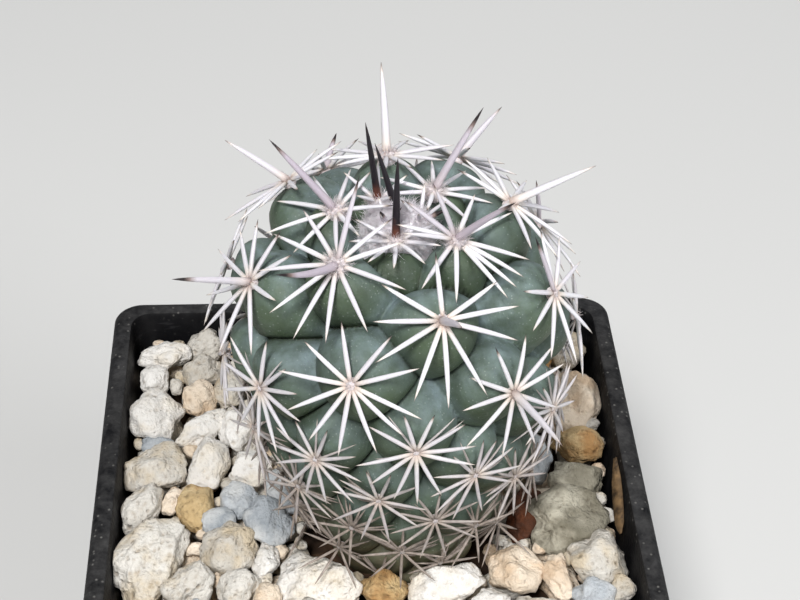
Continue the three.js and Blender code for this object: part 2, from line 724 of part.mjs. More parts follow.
function fuseStars(stars, core) {
  const solids = stars.map(starSolid);
  if (core) solids.push(core);
  return geometryFrom(solids.reduce((sum, solid) => sum.add(solid)));
}

// The cushion of wool in the crown's dip
function makeWool() {
  const outline = [[0, 55.7], [3.6, 55.7], [4.9, 56.3], [4.6, 57.2], [3.1, 57.9], [1.4, 58.2], [0, 58.2]];
  const dome = new THREE.LatheGeometry(outline.map(([r, h]) => new THREE.Vector2(r, h - 56)), 10);
  dome.rotateX(Math.PI / 2);
  const seat = inPot(0, 0, 56);
  dome.translate(seat.x, seat.y, seat.z);
  return solidOf(dome);
}

const plant = new THREE.Group();
plant.add(named('stem', makeStem(), stemGreen));

const crownStarList = [];
for (let n = 0; n <= lastInCrown; n += 1) crownStarList.push(planStar(n, 'crown'));
plant.add(named('crown', fuseStars(crownStarList, makeWool()), woolWhite));

for (let n = lastInCrown + 1; n <= lastSingle; n += 1) {
  const name = `spines_${String(n).padStart(2, '0')}`;
  plant.add(named(name, fuseStars([planStar(n, name)]), spineWhite));
}

const chains = Array.from({ length: chainCount }, () => []);
for (let n = lastSingle + 1; n <= lastWithSpines; n += 1) {
  chains[(n - lastSingle - 1) % chainCount].push(planStar(n, chainName(n)));
}
for (const [i, chain] of chains.entries()) {
  plant.add(named(`old_spines_${i + 1}`, fuseStars(chain), spineWhite));
}

const part = new THREE.Group();
part.add(named('pot', makePot(), potBlack));
part.add(named('soil', makeSoil(), soilBrown));
part.add(named('gravel', makeGravel(), stoneCream));
part.add(plant);

export default part;
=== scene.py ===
# A young coryphantha in a square black pot, dressed with stones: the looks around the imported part.
# The plant is planned in millimetres, as the part is drawn, and each mesh is written in metres.
import math

import bmesh
import bpy
import numpy as np
from mathutils import Matrix, Vector, noise


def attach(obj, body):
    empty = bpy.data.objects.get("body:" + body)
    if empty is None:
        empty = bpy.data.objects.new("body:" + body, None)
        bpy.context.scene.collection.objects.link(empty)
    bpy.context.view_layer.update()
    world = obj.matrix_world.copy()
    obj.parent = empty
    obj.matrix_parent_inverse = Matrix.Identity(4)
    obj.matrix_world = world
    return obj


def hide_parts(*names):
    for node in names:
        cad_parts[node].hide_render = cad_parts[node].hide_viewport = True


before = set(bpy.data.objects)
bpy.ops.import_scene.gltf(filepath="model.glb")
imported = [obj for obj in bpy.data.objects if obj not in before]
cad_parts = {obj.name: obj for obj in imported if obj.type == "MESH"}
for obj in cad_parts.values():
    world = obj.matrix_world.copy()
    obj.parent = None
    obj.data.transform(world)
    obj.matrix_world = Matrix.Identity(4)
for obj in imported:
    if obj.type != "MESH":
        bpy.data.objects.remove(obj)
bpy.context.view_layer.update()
mm = 0.001
print("frame:", len(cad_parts), "nodes")


# Small tools
def draw(key, salt):  # a fixed draw between 0 and 1 for each pair of numbers
    value = math.sin(key * 12.9898 + salt * 78.233) * 43758.5453
    return value - math.floor(value)


def draws(count, salt, key=0):  # many fixed draws at once
    return np.array([draw(key * 997 + i, salt) for i in range(count)])


def along(outline, column, at):  # a smooth curve through the points of an outline
    table = np.array(outline, float)
    x, y = table[:, 0], table[:, column]
    slope = np.zeros(len(y))
    slope[1:-1] = (y[2:] - y[:-2]) / (x[2:] - x[:-2])
    slope[0] = (y[1] - y[0]) / (x[1] - x[0])
    slope[-1] = (y[-1] - y[-2]) / (x[-1] - x[-2])
    i = np.clip(np.searchsorted(x, at, side="left") - 1, 0, len(x) - 2)
    width = x[i + 1] - x[i]
    t = np.clip((at - x[i]) / width, 0, 1)
    start = (1 + 2 * t) * (1 - t) ** 2 * y[i] + t * (1 - t) ** 2 * width * slope[i]
    return start + t * t * (3 - 2 * t) * y[i + 1] + t * t * (t - 1) * width * slope[i + 1]


def unit(v):
    return v / np.linalg.norm(v)


def intoScene(name, data):
    made = bpy.data.objects.new(name, data)
    bpy.context.scene.collection.objects.link(made)
    return made


class MeshHeap:  # collects points and faces in millimetres, with values for the materials to read
    def __init__(self):
        self.points, self.faces, self.slots, self.values, self.count = [], [], [], {}, 0

    def add(self, points, faces, slot=0, **values):
        points = np.asarray(points, float).reshape(-1, 3)
        for key in {**self.values, **values}:
            if key not in self.values:
                self.values[key] = [np.zeros(self.count)] if self.count else []
            self.values[key].append(np.broadcast_to(values.get(key, 0.0), len(points)))
        for block in faces:
            block = np.asarray(block, int) + self.count
            self.faces += block.tolist()
            self.slots += [slot] * len(block)
        self.points.append(points)
        self.count += len(points)

    def build(self, name, *materials):
        mesh = bpy.data.meshes.new(name)
        mesh.from_pydata((np.concatenate(self.points) * mm).tolist(), [], self.faces)
        for key, parts in self.values.items():
            layer = mesh.attributes.new(key, "FLOAT", "POINT")
            layer.data.foreach_set("value", np.concatenate(parts).astype(np.float32))
        for material in materials:
            mesh.materials.append(material)
        mesh.polygons.foreach_set("material_index", self.slots)
        mesh.shade_smooth()
        return intoScene(name, mesh)


def finishPiece(piece, slot, *nodes):  # rides on the part and stands for its plain nodes
    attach(piece, "root")
    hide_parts(*nodes)


def ringFaces(rows, columns):  # quads between rows of points, each row a ring
    i = np.arange(columns)
    after = (i + 1) % columns
    first = np.arange(rows - 1)[:, None] * columns
    quads = np.stack([first + i, first + after, first + columns + after, first + columns + i], -1)
    return quads.reshape(-1, 4)


# The plan of the plant, with the part's own numbers
plant = {
    "level": 67.0,
    "foot": (4.55, -0.25),
    "lean": (-0.035, -0.003),
    "firstAreole": 74.5,  # the side that it faces, and the turn from each to the next
    "goldenAngle": 137.508,
    "lastAreole": 80,
    "outline": [  # areole number, radius, height
        [0, 0.8, 55.3], [4, 5.4, 56.6], [8, 10.9, 57.7], [12, 17.2, 54.5], [18, 21.7, 46.8], [26, 22.5, 38],
        [36, 21.1, 29.6], [48, 19.1, 21.1], [60, 16.2, 12.4], [72, 13.4, 4], [80, 11.2, -2],
    ],
    "root": [[9.4, -5], [6.2, -8.6], [4.4, -14], [2.6, -20]],
    "relief": [[0, 1], [4, 2.2], [8, 4.2], [14, 5.2], [20, 4.6], [30, 3.4], [45, 2.4], [80, 1.4]],
    "reach": 0.62,  # how much of the room about its areole a tubercle fills
    "upward": 1.15,  # how ways count towards the crown, and away from it
    "downward": 0.9,
    "faraway": 14,  # areoles further off along the stem don't count
    "bulge": 2.2,
    "dip": (1.8, 4.9, 1.2),  # the crown's: its depth, the areole where it ends, and its slope's width
}
spines = {
    "radialLength": [[0, 3], [4, 6.3], [7, 9.1], [17, 8.8], [22, 7.9], [30, 6.9], [48, 6.4], [80, 5.2]],
    "radialThickness": [[0, 0.56], [8, 0.7], [20, 0.66], [34, 0.52], [48, 0.46], [80, 0.42]],
    "centralThickness": 1.15,
    "hubRadius": 1.35,
    "hubHeight": 0.95,
    "standOff": 0.5,
    "clearance": 0.22,
    "surfaceClearance": 0.4,
    "lastArched": 29,  # later ones bend either way
    "samples": 0.22 + 0.13 * np.arange(1, 7),  # where along a spine its clearance is tested
    "overStones": 76,  # a spine above this height can't meet a stone
    "lastInCrown": 4,
    "lastSingle": 48,
    "chainCount": 8,
    "lastInChains": 64,
    "lastOfAll": 72,
}
gap = 0.35  # between pieces that touch
pot = {
    "width": 80.0, "height": 75.0, "base": 58.0, "wall": 1.2, "floor": 2.0,
    "lip": 6.0, "overhang": 2.2, "corner": 4.0, "drain": 8.0, "drainOffset": 15.0,
}
bed = {
    "soilTop": 58.5, "top": 69.0, "middle": 70.8, "swell": 1.13, "standOut": 0.38,
    "heights": (0.85, 6.4), "fillerTries": 1200, "fillerSizes": (5.6, 9.8), "closest": 13.6, "apart": 0.42,
}

ringStep = 0.25
ringNumber = np.arange(0, plant["lastAreole"] + 1e-9, ringStep)
ringRadius = along(plant["outline"], 1, ringNumber)
ringHeight = along(plant["outline"], 2, ringNumber)
before, after = (np.clip(ringNumber + step, 0, plant["lastAreole"]) for step in (-0.05, 0.05))
ringAcross, ringDown = (
    along(plant["outline"], column, after) - along(plant["outline"], column, before) for column in (1, 2)
)
ringNormal = np.stack([-ringDown, ringAcross], 1) / np.hypot(ringAcross, ringDown)[:, None]
ringLength = np.concatenate([[0], np.cumsum(np.hypot(np.diff(ringRadius), np.diff(ringHeight)))])


def ringValue(values, n):
    return np.interp(n, ringNumber, values)


def inPot(radius, angle, height):  # from the stem's own frame into the pot's
    x = plant["foot"][0] + plant["lean"][0] * height + radius * np.cos(angle)
    y = plant["foot"][1] + plant["lean"][1] * height + radius * np.sin(angle)
    return np.stack(np.broadcast_arrays(x, y, plant["level"] + height), -1)


areoleNumber = np.arange(plant["lastAreole"] + 1)
areoleAngle = np.radians((plant["firstAreole"] + plant["goldenAngle"] * areoleNumber) % 360)
areoleRadius, areoleHeight, areoleLength = (
    ringValue(v, areoleNumber) for v in (ringRadius, ringHeight, ringLength)
)
perAreole = ringValue(ringLength, areoleNumber + 1) - ringValue(ringLength, np.maximum(areoleNumber - 1, 0))
perAreole[1:] /= 2
areoleReach = plant["reach"] * np.sqrt(2 * np.pi * areoleRadius * np.maximum(perAreole, 0.3))


def tubercleShares(n, angle):  # how far each point is from each areole, as a share of its reach
    radius, length = ringValue(ringRadius, n), ringValue(ringLength, n)
    down = length[:, None] - areoleLength
    turn = angle[:, None] - areoleAngle
    turn -= 2 * np.pi * np.round(turn / (2 * np.pi))
    around = turn * 0.5 * (radius[:, None] + areoleRadius)
    share = np.hypot(around, down * np.where(down > 0, plant["downward"], plant["upward"])) / areoleReach
    share[np.abs(down) > plant["faraway"]] = 9
    return share, down


def crownDip(n):
    depth, end, width = plant["dip"]
    return depth * np.clip((end - n) / width, 0, 1)


def foldDepth(n, angle):
    nearest = np.minimum(tubercleShares(n, angle)[0].min(1), 1.1)
    return along(plant["relief"], 1, n) * nearest ** plant["bulge"] + crownDip(n)


def heightOverStem(points):
    height = points[:, 2] - plant["level"]
    x = points[:, 0] - plant["foot"][0] - plant["lean"][0] * height
    y = points[:, 1] - plant["foot"][1] - plant["lean"][1] * height
    radius = np.hypot(x, y)
    away = (ringRadius - radius[:, None]) ** 2 + (ringHeight - height[:, None]) ** 2
    best = away.argmin(1)
    normal = ringNormal[best]
    over = (radius - ringRadius[best]) * normal[:, 0] + (height - ringHeight[best]) * normal[:, 1]
    return over + foldDepth(ringNumber[best], np.arctan2(y, x))


def innerHalf(z):  # half the width between the pot's inner walls
    underLip = pot["width"] / 2 - pot["overhang"]
    outer = pot["base"] / 2 + (underLip - pot["base"] / 2) * z / (pot["height"] - pot["lip"])
    return min(outer, underLip + 0.4) - pot["wall"]


# The stones that can be told apart: place, length along x and y, turn in degrees, kind
chosenStones = [
    (-25.8, 33.6, 6, 6, 0, "cream"), (-32, 31.4, 8.5, 5, 10, "white"), (-25.5, 27.6, 6.5, 6.5, 0, "cream"),
    (-33, 25.4, 5, 5.5, 20, "white"), (-32, 18.2, 9.6, 9.6, 15, "white"), (-26, 21.6, 5.5, 6, 0, "tan"),
    (-21.4, 23.5, 5, 7, 0, "cream"), (-25, 15.3, 10, 4.8, 28, "white"), (-24.5, 7.6, 7, 9.8, -8, "white"),
    (-19.6, 14, 6.5, 7.4, 0, "white"), (-17.6, 6.2, 6.8, 6.4, 0, "white"), (-32, 7, 9.4, 8.4, 5, "cream"),
    (-31.6, 12.2, 5.4, 3.6, 0, "blue"), (-33.6, -1, 5.4, 8.4, -25, "cream"),
    (-31.6, -10.6, 10.4, 14.4, -30, "cream"), (-26.4, -15.4, 8, 7, 30, "cream"),
    (-25.6, -1.4, 6, 8, 15, "ochre"), (-29.2, 0.8, 4, 4.4, 0, "tan"), (-19.4, 0, 5.4, 6.4, 0, "blue"),
    (-20.6, -8.4, 8.2, 8.4, 0, "cream"), (-22.2, -3.4, 4.8, 4.6, 0, "blue"),
    (-14.9, -4, 7, 8.2, 20, "blue"), (-15.6, -10.8, 4, 6.4, 0, "white"), (-19, -15.8, 6, 7, -20, "cream"),
    (-24.6, -21, 5.4, 5.6, 0, "blue"), (-15.4, -17.6, 4.4, 4.6, 0, "tan"),
    (-8.6, -15, 12.8, 10, 0, "white"), (0.8, -17.2, 7.6, 5.6, 0, "ochre"),
    (9.6, -16.4, 10.8, 6.8, 12, "white"), (15.6, -20, 6, 5, 20, "white"), (3.4, -21.6, 5, 4.6, 0, "white"),
    (32.6, 31, 6, 7, 0, "cream"), (31.2, 20, 10.6, 13.8, 0, "tan"), (31.6, 10.2, 8, 6.8, 0, "ochre"),
    (31, 3.2, 9, 6.6, 0, "grey"), (28, -5, 13, 10.2, 24, "grey"), (32, -12, 9, 9, 0, "cream"),
    (24.4, 8.4, 6.2, 10.4, 8, "blue"), (22.4, -3, 5.4, 10, -25, "rust"), (19.4, -14.4, 8.4, 7.6, 0, "tan"),
    (25.8, -14.8, 4.6, 7.8, 12, "tan"), (30.4, -18.8, 6, 5, 0, "blue"), (34.6, -17.6, 4, 4.6, 0, "cream"),
]
usualKinds = ["white", "cream", "white", "cream", "tan", "blue", "cream", "white", "ochre", "grey"]


def fromStem(x, y):
    return math.hypot(x - plant["foot"][0], y - plant["foot"][1])


def isApart(x, y, size, others):
    for p in others:
        if math.hypot(p["x"] - x, p["y"] - y) <= bed["apart"] * (size + 0.5 * (p["long"] + p["wide"])):
            return False
    return True


def stonePlaces():  # those, then seeded ones wherever there is room, as in the part
    places = [dict(x=x, y=y, long=a, wide=b, turn=t, kind=k) for x, y, a, b, t, k in chosenStones]
    for k in range(bed["fillerTries"]):
        share = k / bed["fillerTries"]
        long = bed["fillerSizes"][1] * (1 - share) + bed["fillerSizes"][0] * share
        wide = long * (0.7 + 0.3 * draw(k, 3))
        room = innerHalf(bed["middle"]) - long / 2
        x, y = room * (2 * draw(k, 1) - 1), room * (2 * draw(k, 2) - 1)
        if isApart(x, y, long, places) and fromStem(x, y) >= bed["closest"] + 0.3 * long:
            kind = usualKinds[int(10 * draw(k, 6))]
            places.append(dict(x=x, y=y, long=long, wide=wide, turn=180 * draw(k, 4), kind=kind))
    for p in places:
        p["high"] = min(bed["heights"][0] * min(p["long"], p["wide"]), bed["heights"][1])
        p["middle"] = min(bed["middle"], bed["top"] + bed["standOut"] * p["high"])
    return places


stones = stonePlaces()
stoneKeys = ("x", "y", "middle", "long", "wide", "high", "turn")
stoneTable = np.array([[p[key] for key in stoneKeys] for p in stones])


def isOverGravel(points, margin):
    if (points[:, 2] < bed["top"] + margin).any():
        return False
    low = points[points[:, 2] <= bed["middle"] + 0.5 * bed["swell"] * bed["heights"][1] + margin]
    if len(low) == 0:
        return True
    turn = np.radians(stoneTable[:, 6])
    offset = low[:, None, :] - stoneTable[:, :3]
    ways = (
        offset[..., 0] * np.cos(turn) + offset[..., 1] * np.sin(turn),
        offset[..., 1] * np.cos(turn) - offset[..., 0] * np.sin(turn),
        offset[..., 2],
    )
    shares = [way / (0.5 * bed["swell"] * stoneTable[:, 3 + k] + margin) for k, way in enumerate(ways)]
    return bool((sum(share ** 2 for share in shares) > 1).all())


# The areoles' frames and the stars of spines on them
def areoleFrame(n):
    angle = areoleAngle[n]
    radial = np.array([math.cos(angle), math.sin(angle), 0])
    aside = np.array([-math.sin(angle), math.cos(angle), 0])
    normal = [ringValue(ringNormal[:, k], n) for k in range(2)]
    out = unit(radial * normal[0] + np.array([0, 0, normal[1]]))
    foot = inPot(areoleRadius[n], angle, areoleHeight[n]) + out * spines["standOff"]
    return {"foot": foot, "radial": radial, "aside": aside, "out": out, "crownward": np.cross(out, aside)}


def worldDirection(at, rise, side):
    level = at["radial"] * math.cos(side) + at["aside"] * math.sin(side)
    return level * math.cos(rise) + np.array([0, 0, math.sin(rise)])


def starFrame(at, n):  # the star's plane faces upward near the crown and outward lower down
    facing = worldDirection(at, math.radians(3 + 87 * math.exp(-((n / 14) ** 2))), 0)
    return facing, np.cross(facing, at["aside"])


# Stars seen from the front: clock angles of the radials, the central's rise, side and length,
# and the clock, lift and length of the longer spines that stand between the two
knownStars = {
    5: {"clock": [20, 60, 100, 135, 170, 205, 240, 280, 325], "central": [60, -20, 13]},
    6: {"clock": [5, 55, 90, 130, 170, 210, 250, 285, 320], "central": [53, -3, 13.4]},
    7: {
        "clock": [67, 100, 145, 163, 175, 188, 229, 262, 285, 335],
        "central": [50, 7, 12],
        "upper": [[325, 29, 9.1], [341, 52, 9]],
    },
    8: {"clock": [20, 60, 90, 130, 165, 205, 245, 280, 305, 345], "central": [57, 1, 12.1]},
    9: {
        "clock": [15, 45, 85, 125, 155, 178, 205, 240, 270, 305],
        "central": [27, -3, 12.3],
        "upper": [[357, 33, 11.3]],
    },
    10: {"clock": [15, 45, 85, 125, 160, 200, 240, 275, 310], "central": [24, -3, 11.8]},
    11: {"clock": [10, 40, 75, 105, 145, 185, 220, 260, 300, 335], "central": [28, 14, 9.7]},
    12: {"clock": [5, 60, 90, 115, 160, 188, 212, 250, 280, 310], "central": [38, -7, 11.5]},
    13: {"clock": [20, 60, 95, 135, 170, 205, 235, 270, 300, 335], "central": [41, -33, 9]},
    14: {"clock": [30, 75, 120, 162, 192, 220, 258, 288, 320, 355], "central": [27, 12, 11.8]},
    15: {"clock": [30, 65, 102, 132, 160, 200, 242, 275, 310], "upper": [[348, 15, 10.5]]},
    16: {"clock": [15, 50, 85, 120, 155, 190, 225, 260, 295, 330], "central": [20, -40, 6.4]},
    17: {"clock": [30, 70, 105, 125, 152, 183, 208, 237, 270, 305, 345]},
    18: {"clock": [20, 55, 92, 130, 165, 200, 235, 272, 310], "upper": [[352, 5, 9.2]]},
    19: {"clock": [25, 60, 95, 130, 165, 200, 235, 270, 305, 340]},
    20: {"clock": [25, 60, 88, 130, 165, 200, 245, 280, 310, 345], "central": [7, -11, 11.5]},
    22: {"clock": [0, 35, 62, 90, 120, 148, 172, 200, 235, 265, 300]},
    25: {"clock": [20, 55, 85, 108, 155, 178, 200, 230, 258, 305, 345]},
    28: {"clock": [10, 50, 85, 120, 155, 190, 225, 265, 300, 335]},
    30: {"clock": [15, 60, 95, 130, 165, 190, 212, 240, 268, 297, 330]},
    33: {"clock": [10, 30, 62, 98, 122, 170, 205, 232, 260, 290, 325]},
}
# Young stars in the crown's wool stand nearly upright
crownStars = {
    0: {"clock": [40, 160, 280], "rise": 62, "central": [70, 70, 11.2]},
    1: {"clock": [30, 150, 270], "rise": 58, "central": [60, 30, 4.5]},
    2: {"clock": [0, 90, 180, 270], "rise": 50, "central": [35, 0, 4]},
    3: {"clock": [10, 80, 150, 220, 290], "rise": 38, "central": [76, 1, 11.2]},
    4: {"clock": [0, 70, 110, 145, 180, 210, 250, 290], "rise": 16, "central": [77, -177, 11.2]},
}


def chainClock(n):
    at = areoleFrame(n)
    crownward = starFrame(at, n)[1]
    onward = areoleFrame(min(n + spines["chainCount"], plant["lastAreole"]))["foot"] - at["foot"]
    first = math.degrees(math.atan2(onward @ at["aside"], onward @ crownward))
    return [first + 45 * i for i in range(8)]


def starPlan(n):
    known = crownStars.get(n) or knownStars.get(n)
    if known:
        return {"rise": 0, **known}
    if n > spines["lastSingle"]:
        return {"clock": chainClock(n), "rise": 8}
    count = 9 + math.floor(2.4 * draw(n, 11))
    first = 360 * draw(n, 12)
    clock = [first + 360 * (i + 0.5 * (draw(n * 17 + i, 13) - 0.5)) / count for i in range(count)]
    return {"clock": clock, "rise": 4 if n > 30 else 0}


turnsToTry = sorted(
    [(lift, swing) for lift in range(-4, 61, 4) for swing in (0, 6, -6, 12, -12)],
    key=lambda turn: math.hypot(*turn),
)
shortenings = (1, 0.86, 0.72, 0.58)
placed = {"root": np.zeros((0, 3)), "tip": np.zeros((0, 3)), "thick": np.zeros(0), "owner": []}


def chainName(n):
    return f"old_spines_{(n - spines['lastSingle'] - 1) % spines['chainCount'] + 1}"


def padMiddle(at):
    return at["foot"] + at["out"] * 0.5 * spines["hubHeight"]


def place(spine, owner):
    placed["root"] = np.vstack([placed["root"], spine["root"]])
    placed["tip"] = np.vstack([placed["tip"], spine["tip"]])
    placed["thick"] = np.append(placed["thick"], spine["thick"])
    placed["owner"].append(owner)


def axisDistances(root, tip, roots, tips):  # shortest ways from one straight needle's axis to others
    p, q, w = tip - root, tips - roots, root - roots
    pp, pq, qq = p @ p, q @ p, (q * q).sum(1)
    pw, qw = w @ p, (q * w).sum(1)
    parallel = pp * qq - pq * pq
    s = np.where(parallel > 1e-6, np.clip((pq * qw - qq * pw) / np.maximum(parallel, 1e-9), 0, 1), 0)
    t = np.clip((pq * s + qw) / qq, 0, 1)
    s = np.clip((pq * t - pw) / pp, 0, 1)
    return np.linalg.norm(w + s[:, None] * p - t[:, None] * q, axis=1)


def isClear(spine, owner):
    shares = spines["samples"]
    points = spine["root"] + shares[:, None] * (spine["tip"] - spine["root"])
    half = 0.5 * spine["thick"] * (1.1 - 0.9 * shares)
    if (heightOverStem(points) < spines["surfaceClearance"] + half).any():
        return False
    if points[:, 2].min() < spines["overStones"]:
        for point, room in zip(points, half):
            if not isOverGravel(point[None], spines["clearance"] + room):
                return False
    other = np.array([name != owner for name in placed["owner"]], bool)
    if not other.any():
        return True
    away = axisDistances(spine["root"], spine["tip"], placed["root"][other], placed["tip"][other])
    return bool((away > 0.5 * (spine["thick"] + placed["thick"][other]) + spines["clearance"]).all())


def bentClear(owner, hub, thick, length, aim):  # the first turn that keeps clear of all else
    for share in shortenings:
        for lift, swing in turnsToTry:
            way = aim(math.radians(lift), math.radians(swing))
            root, tip = hub + way * 0.7 * spines["hubRadius"], hub + way * length * share
            spine = {"root": root, "tip": tip, "thick": thick}
            if isClear(spine, owner):
                return spine
    return None


links = {}
for n in range(spines["lastSingle"] + 1, spines["lastInChains"] - spines["chainCount"] + 1):
    root, tip = padMiddle(areoleFrame(n)), padMiddle(areoleFrame(n + spines["chainCount"]))
    links[n] = {"root": root, "tip": tip, "thick": float(along(spines["radialThickness"], 1, n))}
    place(links[n], chainName(n))


def planStar(n, owner):
    at = areoleFrame(n)
    facing, crownward = starFrame(at, n)
    plan = starPlan(n)
    hub = padMiddle(at)
    star = {"n": n, "age": n / spines["lastOfAll"], "at": at, "hub": hub, "facing": facing}
    star |= {"radials": [], "upper": [], "central": []}

    def settle(kind, clock, thick, length, aim):
        spine = bentClear(owner, hub, thick, length, aim)
        if spine:
            place(spine, owner)
            star[kind].append({**spine, "clock": clock})

    def aimAround(clock, rise):
        def aim(lift, swing):
            around, over = math.radians(clock) + swing, math.radians(rise) + lift
            flat = crownward * math.cos(around) + at["aside"] * math.sin(around)
            return flat * math.cos(over) + facing * math.sin(over)
        return aim

    def aimOutward(rise, side):
        def aim(lift, swing):
            return worldDirection(at, math.radians(rise) + lift, math.radians(side) + swing)
        return aim

    if "central" in plan:
        rise, side, length = plan["central"]
        settle("central", 0, spines["centralThickness"], length, aimOutward(rise, side))
    thick = float(along(spines["radialThickness"], 1, n))
    for clock, rise, length in plan.get("upper", []):
        settle("upper", clock, thick, length, aimAround(clock, rise))
    for i, clock in enumerate(plan["clock"]):
        if i == 0 and n in links:
            star["radials"].append({**links[n], "clock": clock})
            continue
        longer = 1 - 0.1 * math.cos(math.radians(clock)) + 0.12 * (draw(n * 31 + i, 21) - 0.5)
        length = float(along(spines["radialLength"], 1, n)) * longer
        settle("radials", clock, thick, length, aimAround(clock, plan["rise"]))
    return star


starOwners = {}
for n in range(spines["lastOfAll"] + 1):
    if n <= spines["lastInCrown"]:
        starOwners[n] = "crown"
    elif n <= spines["lastSingle"]:
        starOwners[n] = f"spines_{n:02d}"
    else:
        starOwners[n] = chainName(n)
stars = {n: planStar(n, owner) for n, owner in starOwners.items()}
print("planned:", len(stars), "stars,", len(placed["thick"]), "spines,", len(stones), "stones")


# Material tools
def put(tree, kind, values=None, **settings):  # adds a node; a value may be another node's socket
    made = tree.nodes.new("ShaderNode" + kind)
    for key, value in settings.items():
        setattr(made, key, value)
    for key, value in (values or {}).items():
        if isinstance(value, bpy.types.NodeSocket):
            tree.links.new(value, made.inputs[key])
        else:
            made.inputs[key].default_value = value
    return made


def colour(r, g, b):  # a colour given 0 to 255, made linear
    shares = (c / 255 for c in (r, g, b))
    return tuple(((c + 0.055) / 1.055) ** 2.4 if c > 0.04 else c / 12.92 for c in shares) + (1.0,)


def palette(**shades):
    return {name: colour(*shade) for name, shade in shades.items()}


def sums(tree, operation, a, b):
    return put(tree, "Math", {0: a, 1: b}, operation=operation).outputs[0]


def times(tree, made, *values):
    for value in values:
        made = sums(tree, "MULTIPLY", made, value)
    return made


def plus(tree, a, b):
    return sums(tree, "ADD", a, b)


def spread(tree, value, low, high, toLow=0.0, toHigh=1.0, **settings):  # stretches a value to a new span
    values = {"Value": value, "From Min": low, "From Max": high, "To Min": toLow, "To Max": toHigh}
    return put(tree, "MapRange", values, clamp=True, **settings).outputs[0]


def scaled(tree, mask, low, high):
    return spread(tree, mask, 0, 1, low, high)


def mixed(tree, share, a, b):
    return put(tree, "Mix", {0: share, 6: a, 7: b}, data_type="RGBA").outputs[2]


def layered(tree, ground, *coats):  # each coat is a share and its colour, laid over the ones before it
    for share, shade in coats:
        ground = mixed(tree, share, ground, shade)
    return ground


def stepped(tree, value, stops):  # a colour ramp: place and colour of each stop
    ramp = put(tree, "ValToRGB", {0: value})
    elements = ramp.color_ramp.elements
    while len(elements) < len(stops):
        elements.new(0.5)
    for element, (place, shade) in zip(elements, stops):
        element.position, element.color = place, shade
    return ramp.outputs[0]


def read(tree, name):  # a value that the mesh carries
    return put(tree, "Attribute", attribute_name=name).outputs["Fac"]


def heightOf(tree, vector):
    return put(tree, "SeparateXYZ", {0: vector}).outputs["Z"]


def bumped(tree, height, distance, strength=1.0):
    return put(tree, "Bump", {"Height": height, "Distance": distance, "Strength": strength}).outputs[0]


# Shared effects: each takes a place and plain amounts, and gives a mask from 0 to 1
def newGroup(name, **amounts):
    tree = bpy.data.node_groups.new(name, "ShaderNodeTree")
    tree.interface.new_socket(name="Vector", in_out="INPUT", socket_type="NodeSocketVector")
    for label, amount in amounts.items():
        socket = tree.interface.new_socket(name=label, in_out="INPUT", socket_type="NodeSocketFloat")
        socket.default_value = amount
    tree.interface.new_socket(name="Mask", in_out="OUTPUT", socket_type="NodeSocketFloat")
    return tree, tree.nodes.new("NodeGroupInput").outputs, tree.nodes.new("NodeGroupOutput").inputs["Mask"]


def cloudIn(tree, given, **values):
    values = {"Vector": given["Vector"], "Scale": given["Scale"], **values}
    return put(tree, "TexNoise", values).outputs["Fac"]


def makeMottling():  # soft cloudy patches
    tree, given, mask = newGroup("mottling", Scale=200.0, Detail=3.0, Low=0.4, High=0.6)
    cloud = cloudIn(tree, given, Detail=given["Detail"], Roughness=0.55)
    tree.links.new(spread(tree, cloud, given["Low"], given["High"]), mask)
    return tree


def makeSpecks():  # round specks or pits of one size, thinned out at random
    tree, given, mask = newGroup("specks", Scale=1000.0, Size=0.3, Share=0.5)
    cells = put(tree, "TexVoronoi", {"Vector": given["Vector"], "Scale": given["Scale"]}).outputs
    inside = spread(tree, cells["Distance"], given["Size"], 0.0, interpolation_type="SMOOTHSTEP")
    chance = put(tree, "SeparateColor", {0: cells["Color"]}).outputs[0]
    chosen = sums(tree, "LESS_THAN", chance, given["Share"])
    tree.links.new(times(tree, inside, chosen), mask)
    return tree


def makeDust():  # lies on what faces upward, in drifts
    tree, given, mask = newGroup("settledDust", Scale=300.0, Amount=0.5)
    upward = spread(tree, heightOf(tree, put(tree, "NewGeometry").outputs["Normal"]), 0.1, 1.0, 0.12, 1.0)
    drifts = spread(tree, cloudIn(tree, given, Detail=6.0, Roughness=0.62), 0.34, 0.7)
    tree.links.new(times(tree, upward, drifts, given["Amount"]), mask)
    return tree


mottling, specks, settledDust = makeMottling(), makeSpecks(), makeDust()


def useGroup(tree, group, **values):
    return put(tree, "Group", values, node_tree=group).outputs["Mask"]


def mottled(tree, where, scale, detail, low, high):
    return useGroup(tree, mottling, Vector=where, Scale=scale, Detail=detail, Low=low, High=high)


def specked(tree, where, scale, size, share):
    return useGroup(tree, specks, Vector=where, Scale=scale, Size=size, Share=share)


# Finishes
def newFinish(name, **constants):  # a material with its Principled shader, which holds the plain values
    material = bpy.data.materials.new(name)
    material.use_nodes = True
    tree = material.node_tree
    shader = tree.nodes["Principled BSDF"]
    for key, value in constants.items():
        shader.inputs[key.replace("_", " ")].default_value = value
    where = put(tree, "TexCoord").outputs["Object"]
    return material, tree, shader, where


def wire(tree, shader, shade, roughness, normal):
    for key, value in (("Base Color", shade), ("Roughness", roughness), ("Normal", normal)):
        tree.links.new(value, shader.inputs[key])


potFinish = palette(
    black=(13, 13, 15), worn=(26, 27, 31), dust=(104, 103, 102), lime=(150, 148, 143), scuff=(62, 62, 64)
)
potFinish["rimHeights"] = (0.0738, 0.0746)  # where the walls' finish turns into the rim's


